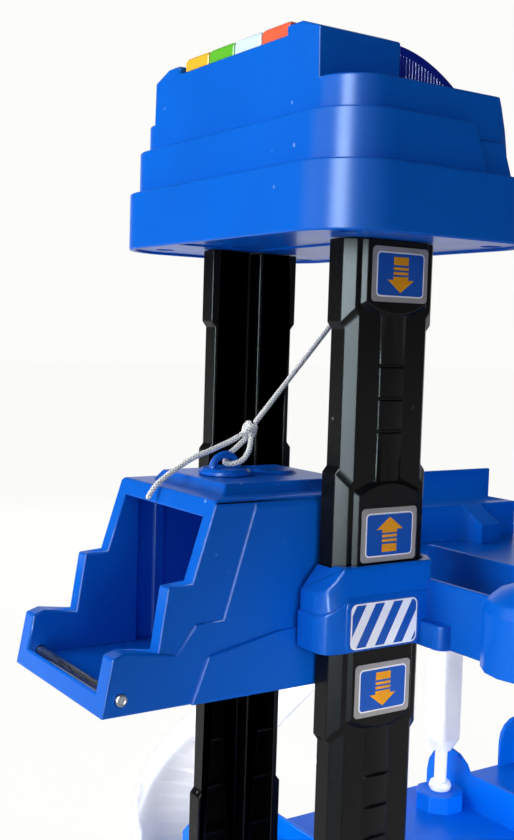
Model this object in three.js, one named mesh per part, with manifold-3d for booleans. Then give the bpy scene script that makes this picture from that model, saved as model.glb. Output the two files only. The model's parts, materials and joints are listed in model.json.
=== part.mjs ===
// Toy parking garage with a motor lift: two black columns carry a stepped head with
// four sound keys, and a hollow lift cabin hangs between them on a braided cord.
// Two blue parking decks, white posts and a curved ramp make up the garage.
// Millimetres, +Z up. +X points from the lift to the decks, and the origin lies on the
// floor between the two columns.
import * as THREE from "three";
import { mergeVertices } from "three/addons/utils/BufferGeometryUtils.js";
import Module from "manifold-3d";

const wasm = await Module();
wasm.setup();

// Driving dimensions
const runningGap = 0.9;
const seatGap = 0.3;
const socketGap = 0.35;
const cutOverrun = 2;
const weldDistance = 1e-4;
const storeyHeight = 127;
const floorTop = 9.5;
const floorThick = 1.8;
const wallThick = 2.2;

// Two columns, one the mirror of the other across the lift shaft
const column = {
  innerFace: 33.6,
  depth: 9.8,
  halfWide: 17.8,
  halfNarrow: 16.2,
  chamfer: 3.2,
  wall: 1.8,
  slotHalf: 2,
  railThick: 1.5,
  ribPitch: 16.7,
  ribThick: 1.2,
  ribSetback: 2,
  narrowMiddle: 84.3,
  narrowHalf: 20.7,
  stepRise: 2,
  bandReach: 4.2,
};
const columnPanel = { proud: 1.4, half: 12.9, bevel: 1.4, archReach: 3.4, archRise: 3.9, archSteps: 6 };
const columnStrip = {
  proud: 0.9,
  half: 4.8,
  edge: 0.4,
  arcSteps: 6,
  grooveHalf: 0.4,
  grooveCount: 3,
  groovePitch: 10,
};

// Decks: the walls of both storeys follow the same plan
const deck = {
  nearX: 15,
  farX: 262,
  halfWidth: 101,
  farCorner: 16,
  lowWall: 18.5,
  highWall: 30.3,
  highWallStart: 60,
  innerWallX: 37,
  innerWallTop: 23.5,
  innerWallThick: 1.8,
  doorHalf: 22,
  ledgeStart: 100,
  ledgeEnd: 186,
  ledgeWidth: 22,
  ledgeRise: 16.5,
  lobeX: 22,
  lobeY: 86,
  lobeRadius: 15.5,
  lobeTop: 24.5,
  lobeDome: 9,
  crossWallX: 152,
  crossWallRise: 16.5,
  archY: 82,
  archTop: 24.5,
  archRadius: 15.5,
  ribPitch: 41,
  ribThick: 1.4,
  padRadius: 7,
  cornerSlope: 12,
  stopX: 217,
  stopRadius: 12,
};
const riser = { x: 150, length: 12, reach: 14, slantShare: 0.55 };
const collar = {
  top: 24.5,
  under: 0.6,
  outer: 47,
  reach: 24.5,
  corner: 6.5,
  armThick: 2.4,
  armDepth: 6.9,
  faceEnd: 16.5,
  slopeStart: 17.8,
  slopeDrop: 8,
  tierTop: 15.5,
  tierProud: 0.8,
  tierSlopeStart: 16,
  tierSlopeDrop: 5,
  plateProud: 0.4,
  plateHalf: 14.4,
  plateCentre: -3.3,
  plateCentreRise: 6.9,
  plateHalfHeight: 7.9,
  plateCorner: 2.4,
  bumpReach: 4,
  bumpLength: 11.3,
  bumpHeight: 6,
  bumpCorner: 4,
};
const apron = { frontX: -96, halfWidth: 41, top: 4.6, nose: 9 };

// White posts between the two decks, and the octagonal bosses that they stand on
const post = {
  nearX: 142,
  farX: 236,
  y: 77,
  half: 5.7,
  wall: 1.6,
  tubeBottom: 42.5,
  neckDrop: 6,
  pinRadius: 3,
  footRadius: 5.4,
  footHeight: 4,
  bossRadius: 11.5,
  bossRise: 7.9,
};

// Ramp from the upper deck to the floor: a bend, a straight run and a second bend
const ramp = {
  gateX: 210,
  bendRadius: 53.5,
  run: 79.5,
  secondBend: 75,
  width: 44,
  wallHeight: 9,
  thick: 2,
  steps: 34,
  easeShare: 0.6,
};
const pier = { pathShare: 0.42, halfLength: 10, halfWidth: 5, wall: 1.8, foot: 3, footThick: 2 };

// Lift cabin, drawn at the height that it hangs at
const cabin = {
  rearX: 15,
  frontX: -89.2,
  jambX: -49,
  bottom: 122,
  height: 59,
  halfWidth: 30.6,
  layerProud: 0.9,
  skirtProud: 1.1,
  wall: 2.4,
  roofThick: 2.6,
  roofCorner: 3.4,
  floorThick: 2,
  ledge: 1.6,
  ledgeReach: 2.4,
  frontLip: 6,
  frontLipThick: 2.4,
  jamb: 3.2,
  windowTop: 5.4,
  rearHalf: 24,
  rearTop: 10,
};
const cabinSideShares = [
  [1, 0], [0.97, 0.281], [0.933, 0.303], [0.828, 0.278], [0.801, 0.59],
  [0.725, 0.6], [0.653, 1], [0, 1], [0, 0],
];
const cabinLayerShares = [
  [1, 0], [0.97, 0.281], [0.933, 0.303], [0.828, 0.278], [0.775, 0.256],
  [0.714, 0.398], [0.625, 0.403], [0.527, 0.97], [0.518, 1], [0, 1], [0, 0],
];
const cabinSkirtShares = [[0.73, 0], [0.715, 0.064], [0.677, 0.234], [0.451, 0.312], [0, 0.36], [0, 0]];
const roofPlate = { frontX: -45.8, rearX: 4, half: 22, rise: 3.3, slope: 2.2 };
const pilaster = { x: -40, half: 2, proud: 1 };
const guideTab = { half: 1.6, reach: 5.4, height: 9, lowRise: 8, highDrop: 12 };
const sidePin = { x: -83.4, rise: 4.9, radius: 1.4, headRadius: 1.75, headThick: 0.7 };
const hook = {
  x: -31.6,
  flangeRadius: 8.4,
  flangeRise: 2,
  archHalf: 4.8,
  archSink: 0.6,
  section: 1.25,
  sides: 8,
  bossX: -12,
  bossRadius: 7.4,
  bossRise: 1.2,
};

// Head: three rounded tiers and the key console
const head = {
  bottom: 258.5,
  halfX: 41,
  halfY: 68.5,
  corner: 20.5,
  tierStep: 3.3,
  firstRise: 19.6,
  secondRise: 14.5,
  thirdRise: 9.4,
  secondEndIn: 25.4,
  blockEndIn: 13.5,
  blockRise: 10.3,
  blockProud: 1.4,
  thirdEndIn: 9,
  endSlantShare: 0.4,
  wall: 2.2,
  consoleDepth: 29.4,
  consoleHalfY: 48,
  consoleFlatHalf: 39,
  consoleEndDrop: 3.2,
  consoleRise: 17.1,
};
const keyWell = {
  setback: 1.2,
  depth: 18.4,
  half: 31.6,
  wallDrop: 2.6,
  floorDrop: 8,
  floorThick: 1.6,
  wall: 1.6,
};
const keys = {
  pitch: 15.4,
  gap: 0.7,
  side: 0.45,
  proud: 0.8,
  travel: 1.5,
  bevel: 0.9,
  stemHalf: 2,
};
const headBase = { recess: 0.8, thick: 2.2 };
const screw = {
  frontIn: 15,
  frontSide: 14.5,
  rearIn: 8,
  rearSide: 18.5,
  radius: 1.3,
  headRadius: 2.8,
  headThick: 1.8,
  bossRadius: 4.6,
  bossRise: 8,
  length: 7.5,
};
const screwWell = { radius: 3.4, depth: 7.6, post: 3.6, postBore: 1.7, boreDepth: 5 };
const batteryBay = { wallGap: 3.8, half: 17, halfLength: 29.6, rise: 17, wall: 1.4 };
const battery = { radius: 7, length: 50, capRadius: 2.6, capRise: 1, pitch: 15.2, steps: 14 };
const batteryLid = { thick: 1.6 };

// Winch: drum and gear on a steel shaft, turned by a pinion on the motor
const winch = {
  rearIn: 15,
  rise: 10.5,
  drumHalf: 7,
  flangeRadius: 6.5,
  flangeThick: 1.2,
  coreRadius: 4,
  shaftRadius: 1.5,
  shaftHalf: 15,
  boreGap: 0.06,
  bracketThick: 2.4,
  bracketHalf: 4.5,
  bracketY: 12,
};
const gear = {
  module: 0.6,
  drumTeeth: 20,
  pinionTeeth: 10,
  pressureAngle: 20,
  addendumShare: 0.8,
  dedendumShare: 1.1,
  width: 3,
  backlash: 0.25,
};
const motor = {
  radius: 10,
  flat: 6.9,
  length: 25,
  shaftRadius: 1,
  bossRadius: 3,
  bossLength: 1.2,
  start: 16.2,
};
const clip = { wall: 1.4, length: 10 };
const eyelet = { bore: 1.4, radius: 2.6, flange: 4.2, flangeThick: 0.8, lip: 0.6 };
const speaker = { behindWinch: 34, wallGap: 6.3, radius: 13, rise: 4, magnetRadius: 8, magnetRise: 4 };
const board = {
  frontGap: 1.2,
  halfX: 11,
  halfY: 40,
  thick: 1.2,
  neckHalf: 36,
  ledgeDrop: 1,
  matThick: 1,
  matHalf: 33,
};
const lens = { rearIn: 14.5, halfY: 42, rise: 16, rearRise: 6.5, wall: 1.8, shoulderShare: 0.55 };
const led = { radius: 2.5, rise: 6, flange: 3.6, flangeRise: 1 };

// Cord, with points chosen by hand along its route
const cordRadius = 0.9;
const cordSides = 8;
const knotRadius = 2.9;
const leadPoints = [[30.9, 0, 268.6], [30.9, 0, 264], [30.9, 0, 258.9]];
const hoistPoints = [[30.3, 0, 257], [5, 0, 229.1], [-20.2, 0, 201.3]];
const knotPlace = [-22.4, 0, 198.8];
const loopPoints = [
  [-22.8, -1.3, 195.2], [-24.3, -2.4, 191.8], [-26.9, -2.8, 189.1], [-29.7, -1.9, 188],
  [-31.2, 0, 188],
  [-30.5, 1.6, 188.6], [-28.6, 2.7, 190.4], [-25.8, 2.5, 192.7], [-23.3, 1.5, 195.4],
];
const tailPoints = [
  [-25.7, 0.9, 196.8], [-28.3, 1.6, 195.1], [-32.4, 2.4, 193.3], [-36.1, 3, 191.7], [-39.5, 3.5, 190.5],
  [-43.3, 4, 188.6], [-47.8, 4, 186], [-51.4, 4, 183.8], [-54.4, 4, 181.4], [-56.5, 4, 178.8], [-57.4, 4, 177],
];
const cordSteps = { lead: 2, hoist: 16, loop: 18, tail: 10 };

// Colours and finishes
const plastic = (color, roughness) => new THREE.MeshStandardMaterial({ color, roughness, metalness: 0 });
const metal = (color, roughness) => new THREE.MeshStandardMaterial({ color, roughness, metalness: 1 });
const blue = plastic(0x0a5acd, 0.38);
const black = plastic(0x141416, 0.42);
const white = plastic(0xf1f1f6, 0.4);
const yellow = plastic(0xf4c63a, 0.4);
const green = plastic(0x55c132, 0.4);
const paleWhite = plastic(0xe8f2fa, 0.4);
const red = plastic(0xf26a48, 0.4);
const violet = new THREE.MeshStandardMaterial(
  { color: 0x1a2fa8, roughness: 0.2, transparent: true, opacity: 0.6 });
const steel = metal(0xb9bcc2, 0.3);
const brass = metal(0xc8a552, 0.35);
const rubber = plastic(0x3a3a3e, 0.8);
const boardGreen = plastic(0x1f6b3c, 0.6);
const cordWhite = plastic(0xf4f4f2, 0.9);

const garage = new THREE.Group();
const roundSteps = 16;
const smallSteps = 12;
const cornerSteps = 4;
const domeSteps = 4;

// Solids and shapes
function toSolid(geometry) {
  const bare = geometry.clone();
  bare.deleteAttribute("normal");
  bare.deleteAttribute("uv");
  const merged = mergeVertices(bare, weldDistance);
  const corners = [];
  for (let i = 0; i < merged.index.count; i += 3) {
    const [a, b, c] = [0, 1, 2].map((step) => merged.index.getX(i + step));
    if (a !== b && b !== c && c !== a) corners.push(a, b, c);
  }
  const mesh = new wasm.Mesh({
    numProp: 3,
    vertProperties: new Float32Array(merged.attributes.position.array),
    triVerts: new Uint32Array(corners),
  });
  return new wasm.Manifold(mesh);
}

function toGeometry(solid) {
  const mesh = solid.getMesh();
  const geometry = new THREE.BufferGeometry();
  geometry.setAttribute("position", new THREE.BufferAttribute(new Float32Array(mesh.vertProperties), 3));
  geometry.setIndex(new THREE.BufferAttribute(new Uint32Array(mesh.triVerts), 1));
  const flat = geometry.toNonIndexed();
  flat.computeVertexNormals();
  return flat;
}

function addPiece(name, shape, material) {
  const geometry = shape.isBufferGeometry ? shape : toGeometry(shape);
  const mesh = new THREE.Mesh(geometry, material);
  mesh.name = name;
  garage.add(mesh);
  return mesh;
}

function block(x0, x1, y0, y1, z0, z1) {
  const geometry = new THREE.BoxGeometry(x1 - x0, y1 - y0, z1 - z0);
  geometry.translate((x0 + x1) / 2, (y0 + y1) / 2, (z0 + z1) / 2);
  return toSolid(geometry);
}

function outline(points) {
  return new THREE.Shape(points.map(([x, y]) => new THREE.Vector2(x, y)));
}

function roundedOutline(x0, x1, y0, y1, radius) {
  const shape = new THREE.Shape();
  shape.moveTo(x0 + radius, y0);
  shape.lineTo(x1 - radius, y0);
  shape.absarc(x1 - radius, y0 + radius, radius, -Math.PI / 2, 0);
  shape.lineTo(x1, y1 - radius);
  shape.absarc(x1 - radius, y1 - radius, radius, 0, Math.PI / 2);
  shape.lineTo(x0 + radius, y1);
  shape.absarc(x0 + radius, y1 - radius, radius, Math.PI / 2, Math.PI);
  shape.lineTo(x0, y0 + radius);
  shape.absarc(x0 + radius, y0 + radius, radius, Math.PI, Math.PI * 1.5);
  return shape;
}

function extrudeZ(shape, z0, z1) {
  const geometry = new THREE.ExtrudeGeometry(shape, {
    depth: z1 - z0, bevelEnabled: false, curveSegments: cornerSteps,
  });
  geometry.translate(0, 0, z0);
  return toSolid(geometry);
}

// The shape's x and y become the world's X and Z, and it runs from y0 to y1
function extrudeY(shape, y0, y1) {
  const geometry = new THREE.ExtrudeGeometry(shape, {
    depth: y1 - y0, bevelEnabled: false, curveSegments: cornerSteps,
  });
  geometry.rotateX(Math.PI / 2);
  geometry.translate(0, y1, 0);
  return toSolid(geometry);
}

// The shape's x and y become the world's Y and Z, and it runs from x0 to x1
function extrudeX(shape, x0, x1) {
  const geometry = new THREE.ExtrudeGeometry(shape, {
    depth: x1 - x0, bevelEnabled: false, curveSegments: cornerSteps,
  });
  geometry.rotateY(Math.PI / 2);
  geometry.rotateX(Math.PI / 2);
  geometry.translate(x0, 0, 0);
  return toSolid(geometry);
}

function lathe(points, x, y, z, steps) {
  const profile = points.map(([r, h]) => new THREE.Vector2(r, h));
  const geometry = new THREE.LatheGeometry(profile, steps);
  geometry.rotateX(Math.PI / 2);
  geometry.translate(x, y, z);
  return toSolid(geometry);
}

// A round bar along Z from z0 to z1
function barZ(radius, x, y, z0, z1, steps = roundSteps) {
  return lathe([[0, z0], [radius, z0], [radius, z1], [0, z1]], x, y, 0, steps);
}

// A round bar along Y from y0 to y1
function barY(radius, x, z, y0, y1, steps = roundSteps) {
  const geometry = new THREE.CylinderGeometry(radius, radius, y1 - y0, steps);
  geometry.translate(x, (y0 + y1) / 2, z);
  return toSolid(geometry);
}

// A closed skin through rings of equally many points, with flat ends. The rings' second
// axis in their own plane is Y, or Z for rings that follow each other along -Y
function loft(rings, upAxis = 1) {
  const count = rings[0].length;
  const positions = rings.flat(2);
  const indices = [];
  for (let r = 0; r + 1 < rings.length; r += 1) {
    for (let i = 0; i < count; i += 1) {
      const a = r * count + i;
      const b = r * count + ((i + 1) % count);
      indices.push(a, b, a + count, b, b + count, a + count);
    }
  }
  const first = rings[0].map((point) => new THREE.Vector2(point[0], point[upAxis]));
  const last = (rings.length - 1) * count;
  for (const [a, b, c] of THREE.ShapeUtils.triangulateShape(first, [])) {
    indices.push(a, c, b, last + a, last + b, last + c);
  }
  const geometry = new THREE.BufferGeometry();
  geometry.setAttribute("position", new THREE.Float32BufferAttribute(positions, 3));
  geometry.setIndex(indices);
  return toSolid(geometry);
}

function unite(solids) {
  return solids.reduce((sum, solid) => sum.add(solid));
}

function mirrorY(solid) {
  const geometry = toGeometry(solid);
  geometry.scale(1, -1, 1);
  const position = geometry.attributes.position;
  const flipped = new Float32Array(position.array.length);
  for (let i = 0; i < position.count; i += 1) {
    const source = i - (i % 3) + (2 - (i % 3));
    flipped.set([position.getX(source), position.getY(source), position.getZ(source)], i * 3);
  }
  geometry.setAttribute("position", new THREE.BufferAttribute(flipped, 3));
  return toSolid(geometry);
}

function bothSides(solid) {
  return solid.add(mirrorY(solid));
}

// Columns
// Level heights that follow from the driving dimensions
const shaftHalf = column.innerFace - socketGap;
const columnOuter = column.innerFace + column.depth;
const columnBottom = floorTop + seatGap;
const columnTop = head.bottom + headBase.recess - seatGap;
const upperFloor = floorTop + storeyHeight;

// One outline of the front column at a height: the side faces and the outer face
// may lie at different heights, which slants the bands across the chamfers
function columnRing(half, sideZ, faceZ) {
  const face = half - column.chamfer;
  const side = columnOuter - column.chamfer;
  return [
    [-half, -column.innerFace, sideZ], [-half, -side, sideZ], [-face, -columnOuter, faceZ],
    [face, -columnOuter, faceZ], [half, -side, sideZ], [half, -column.innerFace, sideZ],
  ];
}

function narrowRange(storey) {
  const middle = column.narrowMiddle + storey * storeyHeight;
  return [middle - column.narrowHalf, middle + column.narrowHalf];
}

function columnBody() {
  const rings = [columnRing(column.halfWide, columnBottom, columnBottom)];
  for (const storey of [0, 1]) {
    const [low, high] = narrowRange(storey);
    const step = column.stepRise;
    rings.push(columnRing(column.halfWide, low - step, low - step - column.bandReach));
    rings.push(columnRing(column.halfNarrow, low, low - column.bandReach));
    rings.push(columnRing(column.halfNarrow, high, high + column.bandReach));
    rings.push(columnRing(column.halfWide, high + step, high + step + column.bandReach));
  }
  rings.push(columnRing(column.halfWide, columnTop, columnTop));
  return loft(rings);
}

// The outline of a raised panel at its foot or, with an inset, at its flat top. An end
// that meets a narrow stretch is arched
function panelRing(z0, z1, archLow, archHigh, inset, y) {
  const half = columnPanel.half - inset;
  const rise = (columnPanel.archRise * half) / columnPanel.half;
  const points = [];
  const arch = (end, turn) => {
    for (let i = 0; i <= columnPanel.archSteps; i += 1) {
      const share = (2 * i) / columnPanel.archSteps - 1;
      points.push([turn * half * share, y, end + turn * (inset + rise * share * share)]);
    }
  };
  if (archLow) arch(z0, 1);
  else points.push([-half, y, z0], [half, y, z0]);
  if (archHigh) arch(z1, -1);
  else points.push([half, y, z1], [-half, y, z1]);
  return points;
}

function columnPanelBody(z0, z1, archLow, archHigh) {
  const inside = -columnOuter + column.wall / 2;
  const rings = [
    panelRing(z0, z1, archLow, archHigh, 0, inside),
    panelRing(z0, z1, archLow, archHigh, 0, -columnOuter),
    panelRing(z0, z1, archLow, archHigh, columnPanel.bevel, -columnOuter - columnPanel.proud),
  ];
  return loft(rings, 2);
}

// The rounded centre strip of a narrow stretch, with level grooves across it
function columnStripBody(storey) {
  const { half, proud, edge, arcSteps, grooveHalf, grooveCount, groovePitch } = columnStrip;
  const [low, high] = narrowRange(storey);
  const points = [[half, -columnOuter + column.wall / 2], [-half, -columnOuter + column.wall / 2]];
  for (let i = 0; i <= arcSteps; i += 1) {
    const share = (2 * i) / arcSteps - 1;
    points.push([half * share, -columnOuter - edge - (proud - edge) * (1 - share * share)]);
  }
  const reach = columnPanel.archReach + columnPanel.bevel;
  let strip = extrudeZ(outline(points), low - reach, high + reach);
  const middle = (low + high) / 2;
  for (let i = 0; i < grooveCount; i += 1) {
    const z = middle + (i - (grooveCount - 1) / 2) * groovePitch;
    strip = strip.subtract(block(
      -half - proud, half + proud, -columnOuter - proud - cutOverrun, -columnOuter, z - grooveHalf,
      z + grooveHalf));
  }
  return strip;
}

// Pockets on both sides of the guide slot, with a rib between each two
function columnPockets() {
  const railSide = column.slotHalf + column.railThick;
  const outside = column.halfNarrow - column.wall;
  const deep = column.depth - column.wall;
  const cut = column.chamfer - column.wall / 2;
  const pockets = [];
  const count = Math.floor((columnTop - columnBottom - column.wall) / column.ribPitch);
  const pitch = (columnTop - columnBottom - column.wall) / count;
  for (let i = 0; i < count; i += 1) {
    const z0 = columnBottom + column.wall / 2 + i * pitch + column.ribThick / 2;
    const z1 = z0 + pitch - column.ribThick;
    const floor = [
      [railSide, 0], [railSide, -deep], [outside - cut, -deep], [outside, -deep + cut], [outside, 0],
    ];
    for (const side of [-1, 1]) {
      const shape = outline(floor.map(([x, t]) => [side * x, t - column.innerFace]));
      pockets.push(extrudeZ(shape, z0, z1));
      const x = [side * railSide, side * outside].sort((a, b) => a - b);
      const y = -column.innerFace;
      pockets.push(block(x[0], x[1], y - column.ribSetback, y + cutOverrun, z0, z1 + column.ribThick));
    }
  }
  return unite(pockets);
}

function frontColumn() {
  let solid = columnBody();
  const [lowBottom, lowTop] = narrowRange(0);
  const [highBottom, highTop] = narrowRange(1);
  const reach = columnPanel.archReach;
  solid = solid.add(columnPanelBody(lowTop + reach, highBottom - reach, true, true));
  solid = solid.add(columnPanelBody(highTop + reach, columnTop, true, false));
  solid = solid.add(columnPanelBody(columnBottom, lowBottom - reach, false, true));
  solid = solid.add(columnStripBody(0)).add(columnStripBody(1));
  const deep = column.depth - column.wall;
  const y = -column.innerFace;
  const slot = block(-column.slotHalf, column.slotHalf, y - deep, y + cutOverrun,
    columnBottom - cutOverrun, columnTop + cutOverrun);
  return solid.subtract(slot).subtract(columnPockets());
}

const front = frontColumn();
addPiece("front_column", front, black);
addPiece("rear_column", mirrorY(front), black);

// Decks
// The room that a column and its raised panels need through a deck
function columnSocket(z0, z1) {
  const half = column.halfWide + socketGap;
  const side = columnOuter - column.chamfer + socketGap;
  const face = half - column.chamfer;
  const panel = columnPanel.half + socketGap;
  const outer = columnOuter + socketGap;
  const raised = outer + columnPanel.proud;
  const shape = outline([
    [-half, -shaftHalf], [-half, -side], [-face, -outer], [-panel, -outer],
    [-panel + columnPanel.bevel, -raised],
    [panel - columnPanel.bevel, -raised], [panel, -outer], [face, -outer], [half, -side], [half, -shaftHalf],
  ]);
  return extrudeZ(shape, z0 - cutOverrun, z1 + cutOverrun);
}

// One tier of a collar: its outline from the lift shaft round the column's outer face,
// with the near top corner cut down on a slope
function collarTier(z0, top, proud, slopeStart, slopeDrop) {
  const right = column.halfWide + socketGap + collar.armThick;
  const left = -collar.reach - proud;
  const outer = -collar.outer - proud;
  const shape = new THREE.Shape();
  shape.moveTo(right, -column.innerFace);
  shape.lineTo(left, -column.innerFace);
  shape.lineTo(left, outer + collar.corner);
  shape.quadraticCurveTo(left, outer, left + collar.corner, outer);
  shape.lineTo(collar.faceEnd, outer);
  shape.lineTo(right, -column.innerFace - collar.armDepth);
  shape.closePath();
  const steep = (slopeDrop * cutOverrun) / (collar.reach - slopeStart);
  const slope = outline([
    [-slopeStart + cutOverrun, top + steep], [-slopeStart, top],
    [-collar.reach - cutOverrun, top - slopeDrop - steep], [-collar.reach - cutOverrun, top + steep],
  ]);
  return extrudeZ(shape, z0, top).subtract(
    extrudeY(slope, outer - cutOverrun, -column.innerFace + cutOverrun));
}

// The collar round the front column: two tiers, a label plate and a rounded stop
function collarBody(z0, floor) {
  const upper = collarTier(z0, floor + collar.top, 0, collar.slopeStart, collar.slopeDrop);
  const lower = collarTier(
    z0, floor + collar.tierTop, collar.tierProud, collar.tierSlopeStart, collar.tierSlopeDrop);
  const middle = floor + collar.plateCentreRise;
  const plate = roundedOutline(
    collar.plateCentre - collar.plateHalf, collar.plateCentre + collar.plateHalf,
    middle - collar.plateHalfHeight, middle + collar.plateHalfHeight, collar.plateCorner);
  const face = -collar.outer - collar.tierProud;
  return upper.add(lower).add(extrudeY(plate, face - collar.plateProud, face + collar.tierProud));
}

// The rounded stop that joins a collar to the near wall
function collarStop(z0, floor) {
  const { bumpReach, bumpLength, bumpHeight, bumpCorner } = collar;
  const x0 = deck.nearX - bumpReach;
  const x1 = deck.nearX + wallThick / 2;
  const y0 = -collar.outer - bumpLength;
  const shape = new THREE.Shape();
  shape.moveTo(x1, y0);
  shape.lineTo(x1, -column.innerFace);
  shape.lineTo(x0, -column.innerFace);
  shape.lineTo(x0, y0 + bumpCorner);
  shape.quadraticCurveTo(x0, y0, x0 + bumpCorner, y0);
  shape.closePath();
  return extrudeZ(shape, z0, floor + bumpHeight);
}

function lobe(z0, floor) {
  const { lobeRadius, lobeTop, lobeDome } = deck;
  const z1 = floor + lobeTop;
  const profile = [[0, z0], [lobeRadius, z0], [lobeRadius, z1 - lobeDome]];
  for (let i = 1; i <= domeSteps; i += 1) {
    const angle = (Math.PI / 2) * (i / domeSteps);
    profile.push([lobeRadius * Math.cos(angle), z1 - lobeDome + lobeDome * Math.sin(angle)]);
  }
  profile[profile.length - 1][0] = 0;
  return lathe(profile, deck.lobeX, -deck.lobeY, 0, roundSteps);
}

function deckOutline(inset) {
  const shape = new THREE.Shape();
  const x0 = deck.nearX + inset;
  const x1 = deck.farX - inset;
  const y1 = deck.halfWidth - inset;
  const radius = deck.farCorner - inset;
  shape.moveTo(x0, -y1);
  shape.lineTo(x1 - radius, -y1);
  shape.absarc(x1 - radius, -y1 + radius, radius, -Math.PI / 2, 0);
  shape.lineTo(x1, y1 - radius);
  shape.absarc(x1 - radius, y1 - radius, radius, 0, Math.PI / 2);
  shape.lineTo(x0, y1);
  shape.closePath();
  return shape;
}

function perimeterWall(z0, z1) {
  const ring = extrudeZ(deckOutline(0), z0, z1);
  return ring.subtract(extrudeZ(deckOutline(wallThick), z0 - cutOverrun, z1 + cutOverrun));
}

// The wall beside the lift door, from the doorway to the outer wall
function innerWall(floor) {
  const innerEnd = deck.halfWidth - wallThick / 2;
  return block(
    deck.innerWallX, deck.innerWallX + deck.innerWallThick, -innerEnd, -deck.doorHalf,
    floor - floorThick / 2, floor + deck.innerWallTop);
}

function cutShaft(body, z0, z1) {
  const sockets = bothSides(columnSocket(z0, z1));
  const shaftEnd = cabin.rearX + runningGap;
  const shaft = block(
    -collar.reach - cutOverrun, shaftEnd, -column.innerFace, column.innerFace, z0 - cutOverrun,
    z1 + cutOverrun);
  return body.subtract(sockets).subtract(shaft);
}

// The doorway between the collars, cut out of the near wall
function doorway(floor, top) {
  return block(
    deck.nearX - cutOverrun, deck.nearX + wallThick + cutOverrun,
    -column.innerFace - wallThick, column.innerFace + wallThick, floor, top + cutOverrun);
}

// The ledge along the rear wall, with a buttress before it
function ledge(floor) {
  const inner = deck.halfWidth - deck.ledgeWidth;
  const under = floor - floorThick / 2;
  const step = block(
    deck.ledgeStart, deck.ledgeEnd, inner, deck.halfWidth - wallThick / 2, under, floor + deck.ledgeRise);
  const buttress = extrudeX(outline([
    [inner + wallThick, under], [inner + wallThick, floor + deck.ledgeRise], [inner, floor + deck.ledgeRise],
    [inner - riser.reach, floor + deck.ledgeRise * riser.slantShare], [inner - riser.reach, under],
  ]), riser.x, riser.x + riser.length);
  return step.add(buttress);
}

function upperDeck() {
  const floor = upperFloor;
  const z0 = floor - floorThick;
  let body = extrudeZ(deckOutline(0), z0, floor);
  body = body.add(perimeterWall(z0, floor + deck.lowWall));
  const highWall = perimeterWall(z0, floor + deck.highWall);
  const nearHalf = block(
    0, deck.highWallStart, -deck.halfWidth - cutOverrun, deck.halfWidth + cutOverrun,
    z0 - cutOverrun, floor + deck.highWall + cutOverrun);
  body = body.add(highWall.subtract(nearHalf));
  body = body.add(ledge(floor));
  body = body.subtract(doorway(floor, floor + deck.lowWall));
  const sides = collarBody(z0 + collar.under, floor).add(collarStop(z0, floor)).add(lobe(z0, floor));
  body = body.add(bothSides(sides.add(innerWall(floor))));
  const gate = block(
    ramp.gateX - ramp.width / 2 - seatGap, ramp.gateX + ramp.width / 2 + seatGap,
    deck.halfWidth - wallThick - cutOverrun, deck.halfWidth + cutOverrun, floor,
    floor + deck.highWall + cutOverrun);
  return cutShaft(body.subtract(gate), z0, floor + deck.highWall);
}

function octagonBoss(x, y, z0, z1) {
  const geometry = new THREE.CylinderGeometry(post.bossRadius, post.bossRadius, z1 - z0, 8);
  geometry.rotateX(Math.PI / 2);
  geometry.rotateZ(Math.PI / 8);
  geometry.translate(x, y, (z0 + z1) / 2);
  return toSolid(geometry);
}

// The wall across the base, with an arched tab at each end
function crossWall(floor) {
  const z0 = floor - floorThick / 2;
  const x1 = deck.crossWallX + wallThick;
  const wall = block(deck.crossWallX, x1, -deck.archY, deck.archY, z0, floor + deck.crossWallRise);
  const arch = new THREE.Shape();
  const centre = floor + deck.archTop - deck.archRadius;
  arch.moveTo(-deck.archY - deck.archRadius, z0);
  arch.lineTo(-deck.archY + deck.archRadius, z0);
  arch.lineTo(-deck.archY + deck.archRadius, centre);
  arch.absarc(-deck.archY, centre, deck.archRadius, 0, Math.PI);
  arch.closePath();
  return wall.add(bothSides(extrudeX(arch, deck.crossWallX, x1)));
}

// Ribs under the base, and the round pad that it rests on between the columns
function baseRibs(plateBottom) {
  const half = deck.ribThick / 2;
  const side = deck.halfWidth - wallThick / 2;
  const top = plateBottom + floorThick / 2;
  const spine = block(
    apron.frontX + apron.nose, deck.farX - wallThick / 2, -half, half, 0, apron.top - floorThick / 2);
  const ribs = [spine, barZ(deck.padRadius, 0, 0, 0, apron.top - floorThick / 2)];
  const count = Math.floor((deck.farX - deck.farCorner - deck.nearX) / deck.ribPitch);
  for (let i = 1; i <= count; i += 1) {
    const x = deck.nearX + i * deck.ribPitch;
    ribs.push(block(x - half, x + half, -side, side, 0, top));
  }
  return unite(ribs);
}

// The box beside each column of the base, whose outer wall slopes down to the edge
function baseCorner(floor) {
  const top = floor + deck.lowWall;
  const under = floor - floorThick / 2;
  const x1 = deck.innerWallX + deck.innerWallThick;
  const inner = -collar.outer + wallThick;
  const side = outline([
    [-deck.halfWidth, under], [inner, under], [inner, top], [-deck.halfWidth + deck.cornerSlope, top],
    [-deck.halfWidth, top - deck.cornerSlope],
  ]);
  const hollow = block(
    deck.nearX + wallThick, deck.innerWallX, -deck.halfWidth + wallThick, inner + cutOverrun, floor,
    top + cutOverrun);
  return extrudeX(side, deck.nearX, x1).subtract(hollow);
}

// The arched stops at the edges of the base's far bay
function edgeStops(floor) {
  const arch = new THREE.Shape();
  const centre = floor + deck.archTop - deck.stopRadius;
  arch.moveTo(deck.stopX - deck.stopRadius, floor - floorThick / 2);
  arch.lineTo(deck.stopX + deck.stopRadius, floor - floorThick / 2);
  arch.lineTo(deck.stopX + deck.stopRadius, centre);
  arch.absarc(deck.stopX, centre, deck.stopRadius, 0, Math.PI);
  arch.closePath();
  return bothSides(extrudeY(arch, -deck.halfWidth, -deck.halfWidth + wallThick));
}

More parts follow.
